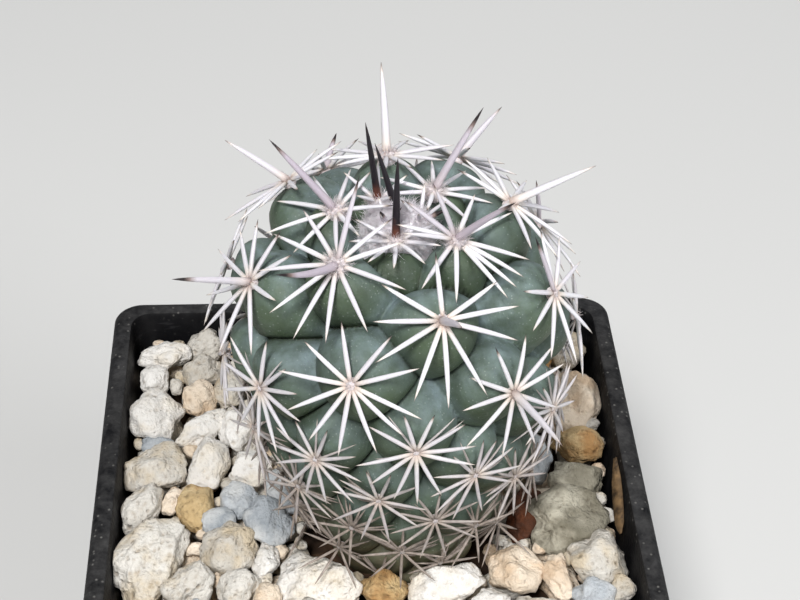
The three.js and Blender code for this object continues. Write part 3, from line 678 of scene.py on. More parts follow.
def makePotFinish():
    material, tree, shader, where = newFinish("pot_matt_black", Specular_IOR_Level=0.1)
    cloud = mottled(tree, where, 60, 5, 0.35, 0.75)
    fine = mottled(tree, where, 1500, 2, 0.3, 0.75)
    onRim = spread(tree, heightOf(tree, where), *potFinish["rimHeights"])
    dust = useGroup(tree, settledDust, Vector=where, Scale=420, Amount=scaled(tree, onRim, 0.16, 0.3))
    marks = times(tree, specked(tree, where, 1300, 0.36, 0.24), scaled(tree, onRim, 0.5, 3.5))
    # dried runs of water down the walls, and short scuffs along them
    downWall = put(tree, "Mapping", {"Vector": where, "Scale": (1, 1, 0.07)}).outputs[0]
    runs = mottled(tree, downWall, 170, 6, 0.54, 0.82)
    alongWall = put(tree, "Mapping", {"Vector": where, "Scale": (0.16, 0.16, 1)}).outputs[0]
    scuffs = mottled(tree, alongWall, 1500, 3, 0.62, 0.7)
    shade = layered(
        tree, potFinish["black"],
        (times(tree, cloud, 0.35), potFinish["worn"]),
        (times(tree, scuffs, cloud, 0.4), potFinish["scuff"]),
        (times(tree, runs, 0.045), potFinish["lime"]),
        (dust, potFinish["dust"]),
        (times(tree, marks, 0.12), potFinish["lime"]),
    )
    roughness = scaled(tree, plus(tree, dust, times(tree, fine, 0.3)), 0.46, 0.86)
    wire(tree, shader, shade, roughness, bumped(tree, plus(tree, fine, dust), 0.00008, 0.7))
    return material


soilFinish = palette(damp=(30, 22, 17), plain=(52, 38, 28), dry=(84, 64, 47))


def makeSoilFinish():
    material, tree, shader, where = newFinish("potting_soil", Specular_IOR_Level=0.2)
    crumbs = put(tree, "TexVoronoi", {"Vector": where, "Scale": 420.0}).outputs["Distance"]
    cloud = mottled(tree, where, 150, 5, 0.3, 0.7)
    shade = stepped(tree, cloud, list(zip((0.0, 0.55, 1.0), soilFinish.values())))
    wire(tree, shader, shade, scaled(tree, cloud, 0.85, 1.0), bumped(tree, crumbs, 0.0008))
    return material


# the bloom's blue-grey is the real bloom's colour, and is also laid on as a painted highlight
stemFinish = palette(
    # fold is a near-black painted shade for the creases
    flesh=(75, 91, 64), deep=(51, 63, 41), bloom=(132, 149, 153), fold=(16, 26, 10), cork=(122, 106, 80),
    # shade is painted shade for the tubercles' lower sides
    speck=(188, 196, 192), shade=(47, 55, 34),
)


def makeStemFinish():
    material, tree, shader, where = newFinish(
        "stem_bloomed_green", Specular_IOR_Level=0.3, Subsurface_Weight=0.06,
        Subsurface_Radius=(0.0012, 0.002, 0.0008), Subsurface_Scale=0.5,
    )
    near, fold, height, above, web = (read(tree, key) for key in ("near", "fold", "height", "above", "web"))
    broad = mottled(tree, where, 110, 4, 0.32, 0.68)
    streaks = mottled(tree, where, 520, 5, 0.35, 0.7)
    grain = mottled(tree, where, 2600, 2, 0.3, 0.7)
    dots = specked(tree, where, 2100, 0.3, 0.5)
    # real powdery bloom and a painted highlight lie on the tubercles' upper sides and webs, which face the
    # light; the bloom is rubbed off in streaks low down
    shoulder = plus(tree, spread(tree, above, 0.36, 0.92, 0.08, 0.64), times(tree, web, 0.42))
    rubbed = times(tree, scaled(tree, streaks, 0.45, 1.0), spread(tree, height, 14, 56, 0.5, 1.5))
    paintedHighlightAndBloom = times(tree, sums(tree, "MINIMUM", shoulder, 1.0), rubbed)
    corky = times(tree, spread(tree, height, 18, 2, 0, 0.8), scaled(tree, streaks, 0.5, 1.0))
    shade = layered(
        tree, stemFinish["deep"],
        (broad, stemFinish["flesh"]),
        # painted shade: the lower side of each tubercle, below its areole, is darkened as if turned away from
        # the light
        (times(tree, spread(tree, above, 0.55, 0.15), 0.28), stemFinish["shade"]),
        # bloom on the upper sides and webs: partly real bloom, partly a painted highlight
        (paintedHighlightAndBloom, stemFinish["bloom"]),
        (times(tree, dots, 0.34), stemFinish["speck"]),
        # painted shade: the hollows between tubercles are darkened with the deep green
        (spread(tree, near, 0.1, 1.0, 0, 0.6), stemFinish["deep"]),
        # painted shade: the creases between tubercles are darkened nearly to black
        (spread(tree, fold, 0.1, 0.75, 0, 0.95), stemFinish["fold"]),
        (corky, stemFinish["cork"]),
    )
    relief = plus(tree, grain, times(tree, streaks, 0.8))
    wire(tree, shader, shade, scaled(tree, paintedHighlightAndBloom, 0.5, 0.78), bumped(tree, relief, 0.00005, 0.7))
    return material


spineFinish = palette(
    root=(206, 184, 168), bone=(222, 221, 225), cream=(222, 214, 205), amber=(120, 98, 86), tip=(34, 26, 28),
    lilac=(172, 160, 172), night=(26, 21, 27), rust=(104, 58, 42), old=(170, 158, 147), oldDark=(102, 88, 78),
)


def makeSpineFinish():
    material, tree, shader, where = newFinish(
        "spine_horn", Specular_IOR_Level=0.45, Subsurface_Weight=0.08,
        Subsurface_Radius=(0.0012, 0.001, 0.0008), Subsurface_Scale=0.4,
    )
    reach, age, dusk, dark = (read(tree, key) for key in ("reach", "age", "dusk", "dark"))
    streaks = mottled(tree, where, 900, 4, 0.3, 0.7)
    grain = mottled(tree, where, 3600, 2, 0.3, 0.7)
    root, cream, bone = (spineFinish[key] for key in ("root", "cream", "bone"))
    young = stepped(tree, reach, [(0.0, root), (0.13, cream), (0.3, bone), (0.78, bone), (0.9, cream)])
    # the crown's spines are dark all along, and rusty at the root
    streaked = plus(tree, reach, scaled(tree, streaks, -0.06, 0.06))
    night = mixed(tree, spread(tree, streaked, 0.06, 0.26), spineFinish["rust"], spineFinish["night"])
    nightly = times(tree, spread(tree, dusk, 0.55, 0.9), spread(tree, reach, 0.0, 0.1, 0.8, 1.0))
    worn = mixed(tree, scaled(tree, streaks, 0.1, 0.9), spineFinish["old"], spineFinish["oldDark"])
    # the tip darkens through amber to black, over the share of the length that the spine carries
    browned = spread(tree, plus(tree, reach, dark), 0.96, 1.06, 0, 0.85)
    shade = layered(
        tree, young,
        (spread(tree, dusk, 0, 0.5, 0, 0.85), spineFinish["lilac"]),
        (nightly, night),
        (spread(tree, age, 0.22, 0.7, 0.0, 0.95), worn),
        (times(tree, browned, spread(tree, dusk, 0.6, 0.8, 1, 0)), spineFinish["amber"]),
        (spread(tree, plus(tree, reach, times(tree, dark, 0.8)), 0.99, 1.07), spineFinish["tip"]),
    )
    relief = plus(tree, grain, times(tree, streaks, age))
    wire(tree, shader, shade, spread(tree, age, 0.1, 0.9, 0.42, 0.8), bumped(tree, relief, 0.00004, 0.5))
    return material


feltFinishes = {  # the tufts, the shade between them, and what both turn to with age
    "areole_felt": palette(pale=(236, 225, 228), deep=(204, 186, 182), aged=(118, 104, 88)),
    "crown_wool": palette(pale=(255, 251, 255), deep=(252, 242, 249), aged=(118, 104, 88)),
}


def makeFeltFinish(name):
    felt = feltFinishes[name]
    material, tree, shader, where = newFinish(
        name, Specular_IOR_Level=0.2, Sheen_Weight=0.6, Sheen_Roughness=0.5, Subsurface_Weight=0.35,
        Subsurface_Radius=(0.0014, 0.0011, 0.001), Subsurface_Scale=0.6,
    )
    tufts = mottled(tree, where, 1300, 4, 0.3, 0.7)
    aged = spread(tree, read(tree, "age"), 0.25, 0.9, 0, 0.85)
    shade = layered(tree, felt["deep"], (tufts, felt["pale"]), (aged, felt["aged"]))
    wire(tree, shader, shade, scaled(tree, tufts, 0.85, 1.0), bumped(tree, tufts, 0.0002))
    return material


# Pale ground, darker ground, stain, dirt in the hollows, how much stain, how pitted
stoneFinishes = {
    "white": ((247, 245, 241), (219, 215, 208), (226, 210, 180), (156, 136, 104), 0.4, 0.8),
    "cream": ((228, 225, 218), (188, 182, 171), (198, 178, 142), (132, 108, 74), 0.62, 1.0),
    "tan": ((244, 232, 216), (216, 198, 174), (204, 172, 136), (128, 98, 68), 0.65, 0.7),
    "ochre": ((226, 207, 166), (182, 152, 104), (156, 108, 56), (78, 56, 32), 0.75, 1.0),
    "blue": ((208, 212, 215), (132, 140, 147), (216, 216, 213), (84, 89, 95), 0.6, 0.5),
    "grey": ((172, 167, 152), (116, 111, 95), (200, 194, 176), (74, 64, 46), 0.7, 0.9),
    "rust": ((96, 56, 34), (46, 28, 20), (128, 68, 34), (26, 18, 14), 0.6, 0.6),
}


def makeStoneFinish(kind):
    pale, deep, stain, dirt = (colour(*shade) for shade in stoneFinishes[kind][:4])
    stained, pitted = stoneFinishes[kind][4:]
    material, tree, shader, where = newFinish("stone_" + kind, Specular_IOR_Level=0.3)
    tone, dip = read(tree, "tone"), read(tree, "dip")
    # each stone reads its patterns at a place of its own
    shift = put(tree, "CombineXYZ", {"X": tone, "Z": tone}).outputs[0]
    where = put(tree, "VectorMath", {0: where, 1: shift}).outputs[0]
    cloud = mottled(tree, where, 240, 6, 0.34, 0.66)
    patches = mottled(tree, where, 170, 6, 0.47, 0.64)
    grain = mottled(tree, where, 2000, 6, 0.28, 0.72)
    pits = specked(tree, where, 1300, 0.5, 0.45)
    bigPits = specked(tree, where, 560, 0.36, 0.3)
    hollow = times(tree, sums(tree, "MAXIMUM", times(tree, pits, 0.55), bigPits), pitted)
    shade = layered(
        tree, deep,
        (times(tree, plus(tree, cloud, tone), 0.5), pale),
        (times(tree, grain, 0.45), deep),
        (times(tree, patches, stained), stain),
        (times(tree, dip, scaled(tree, grain, 0.35, 0.85)), dirt),
        (times(tree, hollow, 0.5), dirt),
    )
    relief = sums(tree, "SUBTRACT", times(tree, grain, 0.6), hollow)
    wire(tree, shader, shade, scaled(tree, cloud, 0.72, 0.92), bumped(tree, relief, 0.0004, 0.9))
    return material


strawFinish = palette(dark=(52, 40, 28), pale=(126, 100, 68))


def makeStrawFinish():
    material, tree, shader, where = newFinish("straw_brown", Specular_IOR_Level=0.3)
    streaks = mottled(tree, where, 700, 4, 0.3, 0.7)
    shade = mixed(tree, streaks, strawFinish["dark"], strawFinish["pale"])
    wire(tree, shader, shade, scaled(tree, streaks, 0.6, 0.85), bumped(tree, streaks, 0.0002))
    return material


potBlack, soilBrown, stemSkin = makePotFinish(), makeSoilFinish(), makeStemFinish()
spineHorn, padFelt, crownWool = makeSpineFinish(), makeFeltFinish("areole_felt"), makeFeltFinish("crown_wool")
stoneMaterials = {kind: makeStoneFinish(kind) for kind in stoneFinishes}
print("finishes made")


# Pot
def squareRing(half, radius, z, perCorner=14):
    ring = []
    for corner in range(4):
        facing = math.radians(45 + 90 * corner)
        cx = math.copysign(half - radius, math.cos(facing))
        cy = math.copysign(half - radius, math.sin(facing))
        for i in range(perCorner + 1):
            angle = math.radians(90 * corner + 90 * i / perCorner)
            ring.append((cx + radius * math.cos(angle), cy + radius * math.sin(angle), z))
    return np.array(ring)


def closedSkin(heap, stack, slot=0, **values):  # a closed skin over a stack of rings
    columns = len(stack[0])
    points = np.concatenate([np.concatenate(stack), [stack[0].mean(0), stack[-1].mean(0)]])
    i, after = np.arange(columns), (np.arange(columns) + 1) % columns
    first, last = len(points) - 2, (len(stack) - 1) * columns
    caps = np.concatenate([
        np.stack([np.full(columns, first), after, i], 1),
        np.stack([np.full(columns, first + 1), last + i, last + after], 1),
    ])
    heap.add(points, [ringFaces(len(stack), columns), caps], slot, **values)


def makePot():
    half, foot, lipFoot, lean = pot["width"] / 2, pot["base"] / 2, pot["height"] - pot["lip"], pot["overhang"]
    inside, top, corner, floor = innerHalf(pot["height"]), pot["height"], pot["corner"], pot["floor"]
    rings = [(foot - 1.2, 6, 0), (foot - 0.8, 6, 0.05), (foot - 0.25, 6.3, 0.4), (foot, 6.4, 1)]
    for share in np.linspace(0.04, 0.98, 12):  # the tapering wall, bowed a little by the soil inside
        out = foot + (half - lean - foot) * share + 0.12 * math.sin(math.pi * share)
        rings.append((out, 6.4 - 1.8 * share, 1 + (lipFoot - 1.4) * share))
    rings += [
        (half - lean, 4.6, lipFoot - 0.3), (half - 1.5, 4.4, lipFoot - 0.12), (half - 0.5, corner, lipFoot),
        (half - 0.2, corner, lipFoot + 0.3), (half - 0.1, corner, lipFoot + 2), (half, corner, top - 2),
    ]
    for angle in np.radians(np.linspace(0, 90, 7)):  # the rolled rim
        rings.append((half - 1.3 + 1.3 * math.cos(angle), corner, top - 1.3 + 1.3 * math.sin(angle)))
    rings += [(inside + 0.55, 3.2, top), (inside + 0.2, 3.1, top - 0.12), (inside, 3, top - 0.6)]
    rings += [(innerHalf(z), radius, z) for radius, z in ((3.6, lipFoot), (4.5, 30), (5.4, floor + 0.6))]
    rings += [(innerHalf(floor) - 0.4, 5.4, floor)]
    heap, cutters = MeshHeap(), MeshHeap()
    closedSkin(heap, [squareRing(*ring) for ring in rings])
    shell = heap.build("pot_plain", potBlack)
    turns = np.linspace(0, 2 * np.pi, 40, endpoint=False)
    for sideX, sideY in ((1, 1), (-1, 1), (-1, -1), (1, -1)):
        x = sideX * pot["drainOffset"] + pot["drain"] / 2 * np.cos(turns)
        y = sideY * pot["drainOffset"] + pot["drain"] / 2 * np.sin(turns)
        closedSkin(cutters, [np.stack([x, y, np.full(40, z)], 1) for z in (-1.0, floor + 1)])
    drains = cutters.build("drains")
    cut = shell.modifiers.new("drains", "BOOLEAN")
    cut.operation, cut.solver, cut.object = "DIFFERENCE", "EXACT", drains
    bpy.context.view_layer.update()
    ready = shell.evaluated_get(bpy.context.evaluated_depsgraph_get())
    made = intoScene("square_pot", bpy.data.meshes.new_from_object(ready))
    for spare in (shell, drains):
        bpy.data.objects.remove(spare)
    made.data.shade_smooth()
    made.data.set_sharp_from_angle(angle=math.radians(38))
    finishPiece(made, "pot", "pot")


makePot()
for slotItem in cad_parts["soil"].material_slots:
    slotItem.link = "OBJECT"
    slotItem.material = soilBrown
print("pot made")


# Stem
stem = {
    "columns": 400, "rows": 226,
    "crowding": 0.82,  # evens out the rows of points, as the areoles crowd together low down
    "webbed": 0.7,  # the share of level neighbours that are webbed together
    "steepest": 0.72, "steepBlend": 0.3,  # neighbours that lie steeper than this aren't level
    "loose": 0.25, "creaseFill": 0.85, "hollowFill": 0.55,  # how far webs fill what they cross
    "creaseWidth": 0.07, "hollowWidth": 0.26, "webWidth": 0.3,
    "crease": 0.4, "hollow": 0.45, "lap": 0.5, "shoulder": 0.1,
    "furrow": 1.1,  # how much deeper the older rows lap, over these areoles
    "furrowFrom": 10, "furrowOver": 14, "youngFrom": 3, "youngOver": 6,
}


def makeStem():
    turns = np.linspace(0, 2 * np.pi, stem["columns"], endpoint=False)
    blank = np.zeros(len(turns))
    webChance = draws(len(areoleNumber), 17)
    stack, rows = [], {}

    def addRow(points, **values):
        stack.append(points)
        for key, value in values.items():
            rows.setdefault(key, []).append(blank + value)

    def bell(value, width):
        return np.exp(-((value / width) ** 2))

    for radius, height in reversed(plant["root"]):
        addRow(inPot(blank + radius, turns, height), near=1, fold=0, height=height, above=0, web=0)
    for share in np.linspace(0, 1, stem["rows"] + 1) ** stem["crowding"]:
        n = plant["lastAreole"] + (1 - plant["lastAreole"]) * share
        away, down = tubercleShares(blank + n, turns)
        order = np.argsort(away, 1)[:, :3]
        pick = np.take_along_axis(away, order, 1)
        nearest, own = pick[:, 0], order[:, 0]
        lower = np.clip(np.take_along_axis(down, order, 1)[:, 0] / areoleReach[own], -1, 1)
        young = np.clip((n - stem["youngFrom"]) / stem["youngOver"], 0, 1)
        fold, near, web = blank, blank, blank
        for k in (1, 2):  # level neighbours are often webbed together, and creased where one laps the next
            beside, apart = order[:, k], pick[:, k] - nearest
            turn = areoleAngle[own] - areoleAngle[beside]
            turn = np.abs(turn - 2 * np.pi * np.round(turn / (2 * np.pi)))
            around = turn * 0.5 * (areoleRadius[own] + areoleRadius[beside])
            lengthwise = areoleLength[own] - areoleLength[beside]
            steep = np.abs(lengthwise) / np.hypot(around, lengthwise)
            level = np.clip((stem["steepest"] - steep) / stem["steepBlend"], 0, 1)
            isWebbed = (webChance[own] + webChance[beside]) % 1 < stem["webbed"]
            joined = level * np.where(isWebbed, 1.0, stem["loose"])
            fold = np.maximum(fold, (1 - stem["creaseFill"] * joined) * bell(apart, stem["creaseWidth"]))
            near = np.maximum(near, (1 - stem["hollowFill"] * joined) * bell(apart, stem["hollowWidth"]))
            web = np.maximum(web, joined * bell(apart, stem["webWidth"]))
        over = stem["lap"] * lower * near  # each tubercle laps over the next below
        swelling = np.minimum(nearest, 1.1) ** plant["bulge"]
        swelling -= stem["shoulder"] * np.sin(np.pi * np.clip(nearest, 0, 1)) ** 2
        furrow = 1 + stem["furrow"] * np.clip((n - stem["furrowFrom"]) / stem["furrowOver"], 0, 1)
        crease = stem["crease"] * furrow * fold + stem["hollow"] * near - furrow * over
        depth = along(plant["relief"], 1, n) * swelling + crownDip(n) + young * crease
        radius, height = (ringValue(v, n) for v in (ringRadius, ringHeight))
        outward, upward = (ringValue(ringNormal[:, k], n) for k in range(2))
        fold, near, web = (mask * young for mask in (fold, near, web))
        points = inPot(radius - depth * outward, turns, height - depth * upward)
        addRow(points, near=near, fold=fold, height=height, above=0.5 - 0.5 * lower, web=web)
    heap = MeshHeap()
    flat = {key: np.concatenate([*made, [made[0][0], made[-1][0]]]) for key, made in rows.items()}
    closedSkin(heap, stack, **flat)
    finishPiece(heap.build("stem_body", stemSkin), "stem", "stem")


makeStem()
print("stem made")


# Spines and felt
radialProfile = [[0, 0.72], [0.06, 0.84], [0.35, 0.94], [0.62, 0.83], [0.8, 0.6], [0.92, 0.3], [1, 0.03]]
centralProfile = [[0, 1.3], [0.06, 1.2], [0.2, 1.06], [0.55, 0.86], [0.8, 0.55], [0.93, 0.26], [1, 0.03]]
spineSides = 8


def addSpine(heap, start, tip, thick, profile, facing, bow, sway, rings=11, **values):
    way = unit(tip - start)
    length = np.linalg.norm(tip - start)
    sideways = np.cross(facing, way)
    sideways = unit(sideways if np.linalg.norm(sideways) > 0.05 else np.cross([1, 0.2, 0], way))
    upward = np.cross(way, sideways)
    reach = np.linspace(0, 1, rings) ** 0.85
    arch = 4 * reach * (1 - reach) * length
    bend = np.outer(arch * bow, upward) + np.outer(arch * sway, sideways)
    centre = start + np.outer(reach, tip - start) + bend
    half = 0.5 * thick * along(profile, 1, reach)
    around = np.linspace(0, 2 * np.pi, spineSides, endpoint=False)
    circle = np.outer(np.cos(around), sideways) + 0.88 * np.outer(np.sin(around), upward)
    reached = np.concatenate([np.repeat(reach, spineSides), [0, 1]])
    closedSkin(heap, centre[:, None, :] + half[:, None, None] * circle, reach=reached, **values)


hairLevels = ((0, 1), (0.45, 0.85), (0.8, 0.55))  # the share of a hair's length, and how wide it is there


def addHairs(heap, roots, ways, lengths, thick, curl, slot, **values):  # thin three-sided hairs with one bend
    count = len(roots)
    ways = ways / np.linalg.norm(ways, axis=1)[:, None]
    side = np.cross(ways, [0.31, 0.52, 0.79])
    side /= np.linalg.norm(side, axis=1)[:, None]
    other = np.cross(ways, side)
    levels = []
    for share, wide in hairLevels:
        centre = roots + ways * (lengths * share)[:, None] + curl * (lengths * share ** 2)[:, None]
        for turn in np.radians((0, 120, 240)):
            levels.append(centre + thick * 0.5 * wide * (side * math.cos(turn) + other * math.sin(turn)))
    levels.append(roots + ways * lengths[:, None] + curl * lengths[:, None])
    tips = np.array([[6 + a, 6 + (a + 1) % 3, 9] for a in range(3)] + [[2, 1, 0]])
    base = (np.arange(count) * len(levels))[:, None, None]
    faces = [(ringFaces(3, 3) + base).reshape(-1, 4), (tips + base).reshape(-1, 3)]
    reach = np.tile(np.repeat([share for share, wide in hairLevels] + [1], (3, 3, 3, 1)), count)
    heap.add(np.stack(levels, 1).reshape(-1, 3), faces, slot, reach=reach, **values)


def flatWays(at, turns):  # ways round an areole, in its own plane
    return np.outer(np.cos(turns), at["aside"]) + np.outer(np.sin(turns), at["crownward"])


# Up to which areole, the pad's width and height, its hairs, their least length and what is added
padSteps = [
    (10, 1.3, 1.2, 240, 0.6, 0.6), (18, 0.9, 0.76, 80, 0.3, 0.45), (20, 0.9, 0.76, 34, 0.3, 0.45),
    (30, 0.68, 0.6, 34, 0.3, 0.45), (plant["lastAreole"], 0.68, 0.6, 18, 0.3, 0.45),
]


def addPad(heap, star):  # the felt pad: a lumpy cushion with short hairs
    at, n, age = star["at"], star["n"], star["age"]
    wide, tall, count, least, added = next(step[1:] for step in padSteps if n < step[0])
    middle = at["foot"] + at["out"] * 0.1
    flat = flatWays(at, np.linspace(0, 2 * np.pi, 14, endpoint=False))
    stack = []
    for k, lift in enumerate(np.radians([-50, -20, 8, 34, 58, 78])):
        lumps = 1 + 0.13 * (np.array([draw(n * 7 + i, 30 + k) for i in range(14)]) - 0.5)
        ring = flat * (wide * math.cos(lift) * lumps)[:, None] + at["out"] * tall * math.sin(lift)
        stack.append(middle + ring)
    closedSkin(heap, stack, 1, age=age, reach=0.0)
    turn, rise = 2 * np.pi * draws(count, 41, n), np.arcsin(0.1 + 0.9 * draws(count, 42, n))
    flat = flatWays(at, turn)
    level, up = flat * np.cos(rise)[:, None], np.outer(np.sin(rise), at["out"])
    ways, roots = level + up, middle + 0.92 * wide * level + 0.9 * tall * up
    curl = np.stack([draws(count, salt, n) - 0.5 for salt in (43, 44, 45)], 1) * 0.9
    addHairs(heap, roots, ways, least + added * draws(count, 46, n), 0.06, curl, 1, age=age)


centralBends = {9: (-0.02, 0.05), 7: (0.015, 0.0), 16: (0.02, 0.0), 12: (0.01, 0.0)}  # bow and sway
# How dark and how grey the centrals are, and the share of their length that the dark tip takes
centralShades = {
    0: (1.0, 0.2), 1: (0.45, 0.35), 2: (0.5, 0.5), 3: (1.0, 0.2), 4: (1.0, 0.2), 5: (0.4, 0.26),
    6: (0.5, 0.2), 7: (0.5, 0.2), 8: (0.1, 0.07), 9: (0.5, 0.24), 10: (0.1, 0.05), 11: (0.2, 0.06),
    12: (0.3, 0.06), 14: (0.25, 0.26), 16: (0.45, 0.3), 20: (0.2, 0.08),
}
upperShades = {7: (0.3, 0.12), 9: (0.3, 0.2), 15: (0.4, 0.24), 18: (0.4, 0.12)}


def addRadials(heap, star):
    n, hub = star["n"], star["hub"]
    for i, spine in enumerate(star["radials"]):
        key = n * 31 + i
        start = hub + unit(spine["tip"] - hub) * 0.35
        upward = max(math.cos(math.radians(spine["clock"])), 0)
        dark = (0.04 + 0.1 * upward ** 2) * (0.7 + 0.6 * draw(key, 22)) * (1.4 if n < 5 else 1.0)
        bow = 0.014 + 0.014 * (draw(key, 23) - 0.5)
        if n > spines["lastArched"]:
            bow = 0.02 * (draw(key, 23) - 0.35)
        sway = 0.022 * (draw(key, 24) - 0.5)
        addSpine(heap, start, spine["tip"], spine["thick"], radialProfile, star["facing"], bow, sway,
                 age=star["age"], dusk=0.16 * draw(key, 25), dark=dark)


skinSpines = {
    "counts": ((34, 9), (20, 5), (-1, 0)),  # past which areole, and how many
    "lifts": np.arange(-28, 70, 7), "overSkin": 0.3, "overStones": 0.1, "thickness": 0.34, "older": 0.15,
}


def addSkinSpines(heap, star):  # thinner and older ones that lie along the skin
    n, hub, at = star["n"], star["hub"], star["at"]
    for i in range(next(count for last, count in skinSpines["counts"] if n > last)):
        key = n * 13 + i
        clock = math.radians(360 * draw(key, 28))
        length = 0.9 * float(along(spines["radialLength"], 1, n)) * (0.75 + 0.4 * draw(key, 29))
        flat = at["crownward"] * math.cos(clock) + at["aside"] * math.sin(clock)
        for lift in np.radians(skinSpines["lifts"]):
            tip = hub + (flat * math.cos(lift) + at["out"] * math.sin(lift)) * length
            line = hub + np.linspace(0.45, 1, 4)[:, None] * (tip - hub)
            isOverSkin = heightOverStem(line).min() > skinSpines["overSkin"]
            if isOverSkin and isOverGravel(line, skinSpines["overStones"]):
                sway, age = 0.03 * (draw(key, 30) - 0.5), min(1, star["age"] + skinSpines["older"])
                addSpine(heap, hub, tip, skinSpines["thickness"], radialProfile, at["out"], 0.03, sway, 8,
                         age=age, dusk=0.1, dark=0.04)
                break


def addStar(heap, star):
    n, hub, facing, age = star["n"], star["hub"], star["facing"], star["age"]
    addRadials(heap, star)
    addSkinSpines(heap, star)
    for spine in star["upper"]:
        dusk, dark = upperShades[n]
        sway = 0.01 * (draw(n, 27) - 0.5)
        addSpine(heap, hub, spine["tip"], 1.1 * spine["thick"], radialProfile, facing, 0.01, sway, 12,
                 age=age, dusk=dusk, dark=dark)
    for spine in star["central"]:
        bow, sway = centralBends.get(n, (0.008, 0.01 * (draw(n, 26) - 0.5)))
        dusk, dark = centralShades.get(n, (0.25, 0.1))
        slim = 0.82 if n < 5 else 0.92
        addSpine(heap, hub, spine["tip"], slim * spine["thick"], centralProfile, facing, bow, sway, 14,
                 age=age, dusk=dusk, dark=dark)
    addPad(heap, star)


heaps = {}
for n, owner in starOwners.items():
    addStar(heaps.setdefault(owner, MeshHeap()), stars[n])
for owner, heap in heaps.items():
    name = owner.replace("old_spines", "old_stars").replace("spines", "star").replace("crown", "crown_spines")
    slot = "old_spines" if owner.startswith("old") else "spines"
    finishPiece(heap.build(name, spineHorn, padFelt), slot, owner)
print("stars made:", sum(heap.count for heap in heaps.values()), "points")


# Wool in the crown
wool = {
    "mound": [  # reach, height
        [0, 57.3], [1.5, 57.2], [3, 56.8], [4.2, 55.6], [5.0, 53.8], [5.6, 51.2], [6.1, 48],
    ],
    "foot": (2.6, 52.0),
    "columns": 96, "rings": 48, "edge": 6.1, "strandEdge": 5.7,
    "tuftHeight": 1.2, "tuftReach": 1.8, "lastTuft": 4, "lastWithStrands": 9,
    "strands": {"mound": 4400, "tuft": 900, "pad": 440},
    "strandReach": {"tuft": 2.1, "pad": 1.15},
}
tuftPlaces = np.stack([areoleRadius * np.cos(areoleAngle), areoleRadius * np.sin(areoleAngle)], 1)


def woolTop(x, y):  # a low mound with a soft tuft about each young areole
    height = along(wool["mound"], 1, np.hypot(x, y))
    for a, b in tuftPlaces[:wool["lastTuft"] + 1]:
        away = (x - a) ** 2 + (y - b) ** 2
        height = height + wool["tuftHeight"] * np.exp(-away / wool["tuftReach"] ** 2)
    places = [Vector((a, b, 3.1)) for a, b in zip(x, y)]
    return height + np.array([0.25 * noise.noise(p * 1.1) + 0.16 * noise.noise(p * 3.3) for p in places])


def onMound(x, y, under=0.0):
    return inPot(np.hypot(x, y), np.arctan2(y, x), woolTop(x, y) - under)


def addStrands(heap, count, key, spot):  # spot gives the roots and the way out, from two draws
    salts = [draws(count, 51 + k, key) for k in range(9)]
    roots, outward = spot(2 * np.pi * salts[0], salts[1])
    ways = outward + 1.7 * (np.stack(salts[2:5], 1) - 0.5)
    curl = 2.2 * (np.stack(salts[5:8], 1) - 0.5)
    addHairs(heap, roots, ways, 0.4 + 0.7 * salts[8], 0.058, curl, 0, age=0.0)


def makeWool():
    heap = MeshHeap()
    turns = np.linspace(0, 2 * np.pi, wool["columns"], endpoint=False)
    radius, height = wool["foot"]
    stack = [inPot(radius + 0 * turns, turns, height + 0 * turns)]
    for out in np.linspace(wool["edge"], 0.2, wool["rings"]):
        stack.append(onMound(out * np.cos(turns), out * np.sin(turns)))
    closedSkin(heap, stack, reach=0.0, age=0.0)

    def overMound(turn, share):
        out = wool["strandEdge"] * np.sqrt(share)
        x, y = out * np.cos(turn), out * np.sin(turn)
        return onMound(x, y, 0.15), np.stack([0.08 * x, 0.08 * y, np.full(len(x), 0.7)], 1)

    addStrands(heap, wool["strands"]["mound"], 400, overMound)
    for n in range(wool["lastWithStrands"] + 1):
        at, kind = areoleFrame(n), "tuft" if n <= wool["lastTuft"] else "pad"

        def aroundAreole(turn, share):
            out = wool["strandReach"][kind] * np.sqrt(-0.6 * np.log(1 - 0.93 * share))
            flat = out[:, None] * flatWays(at, turn)
            x, y = tuftPlaces[n][0] + out * np.cos(turn), tuftPlaces[n][1] + out * np.sin(turn)
            roots = onMound(x, y, 0.15) if n < wool["lastTuft"] else at["foot"] + flat + 0.1 * at["out"]
            return roots, 0.3 * flat + 0.7 * at["out"]

        addStrands(heap, wool["strands"][kind], n, aroundAreole)
    finishPiece(heap.build("crown_wool_tuft", crownWool), "wool", "crown")


makeWool()
print("wool made")


# Stones
def ballOf(level):
    ball = bmesh.new()
    bmesh.ops.create_icosphere(ball, subdivisions=level, radius=1.0)
    points = np.array([v.co[:] for v in ball.verts])
    faces = np.array([[v.index for v in face.verts] for face in ball.faces])
    ball.free()
    return points, faces


balls = {level: ballOf(level) for level in (3, 4, 5)}
rough = {
    "flats": 10, "flatFrom": 0.6, "flatAdded": 0.3,  # how far the flats lie from the middle
    "waveScales": (1.5, 3.7, 9.0), "waves": (0.2, 0.09, 0.035),
    "pitScale": 4.2, "pitted": 0.55, "pitDepth": 0.1,
}


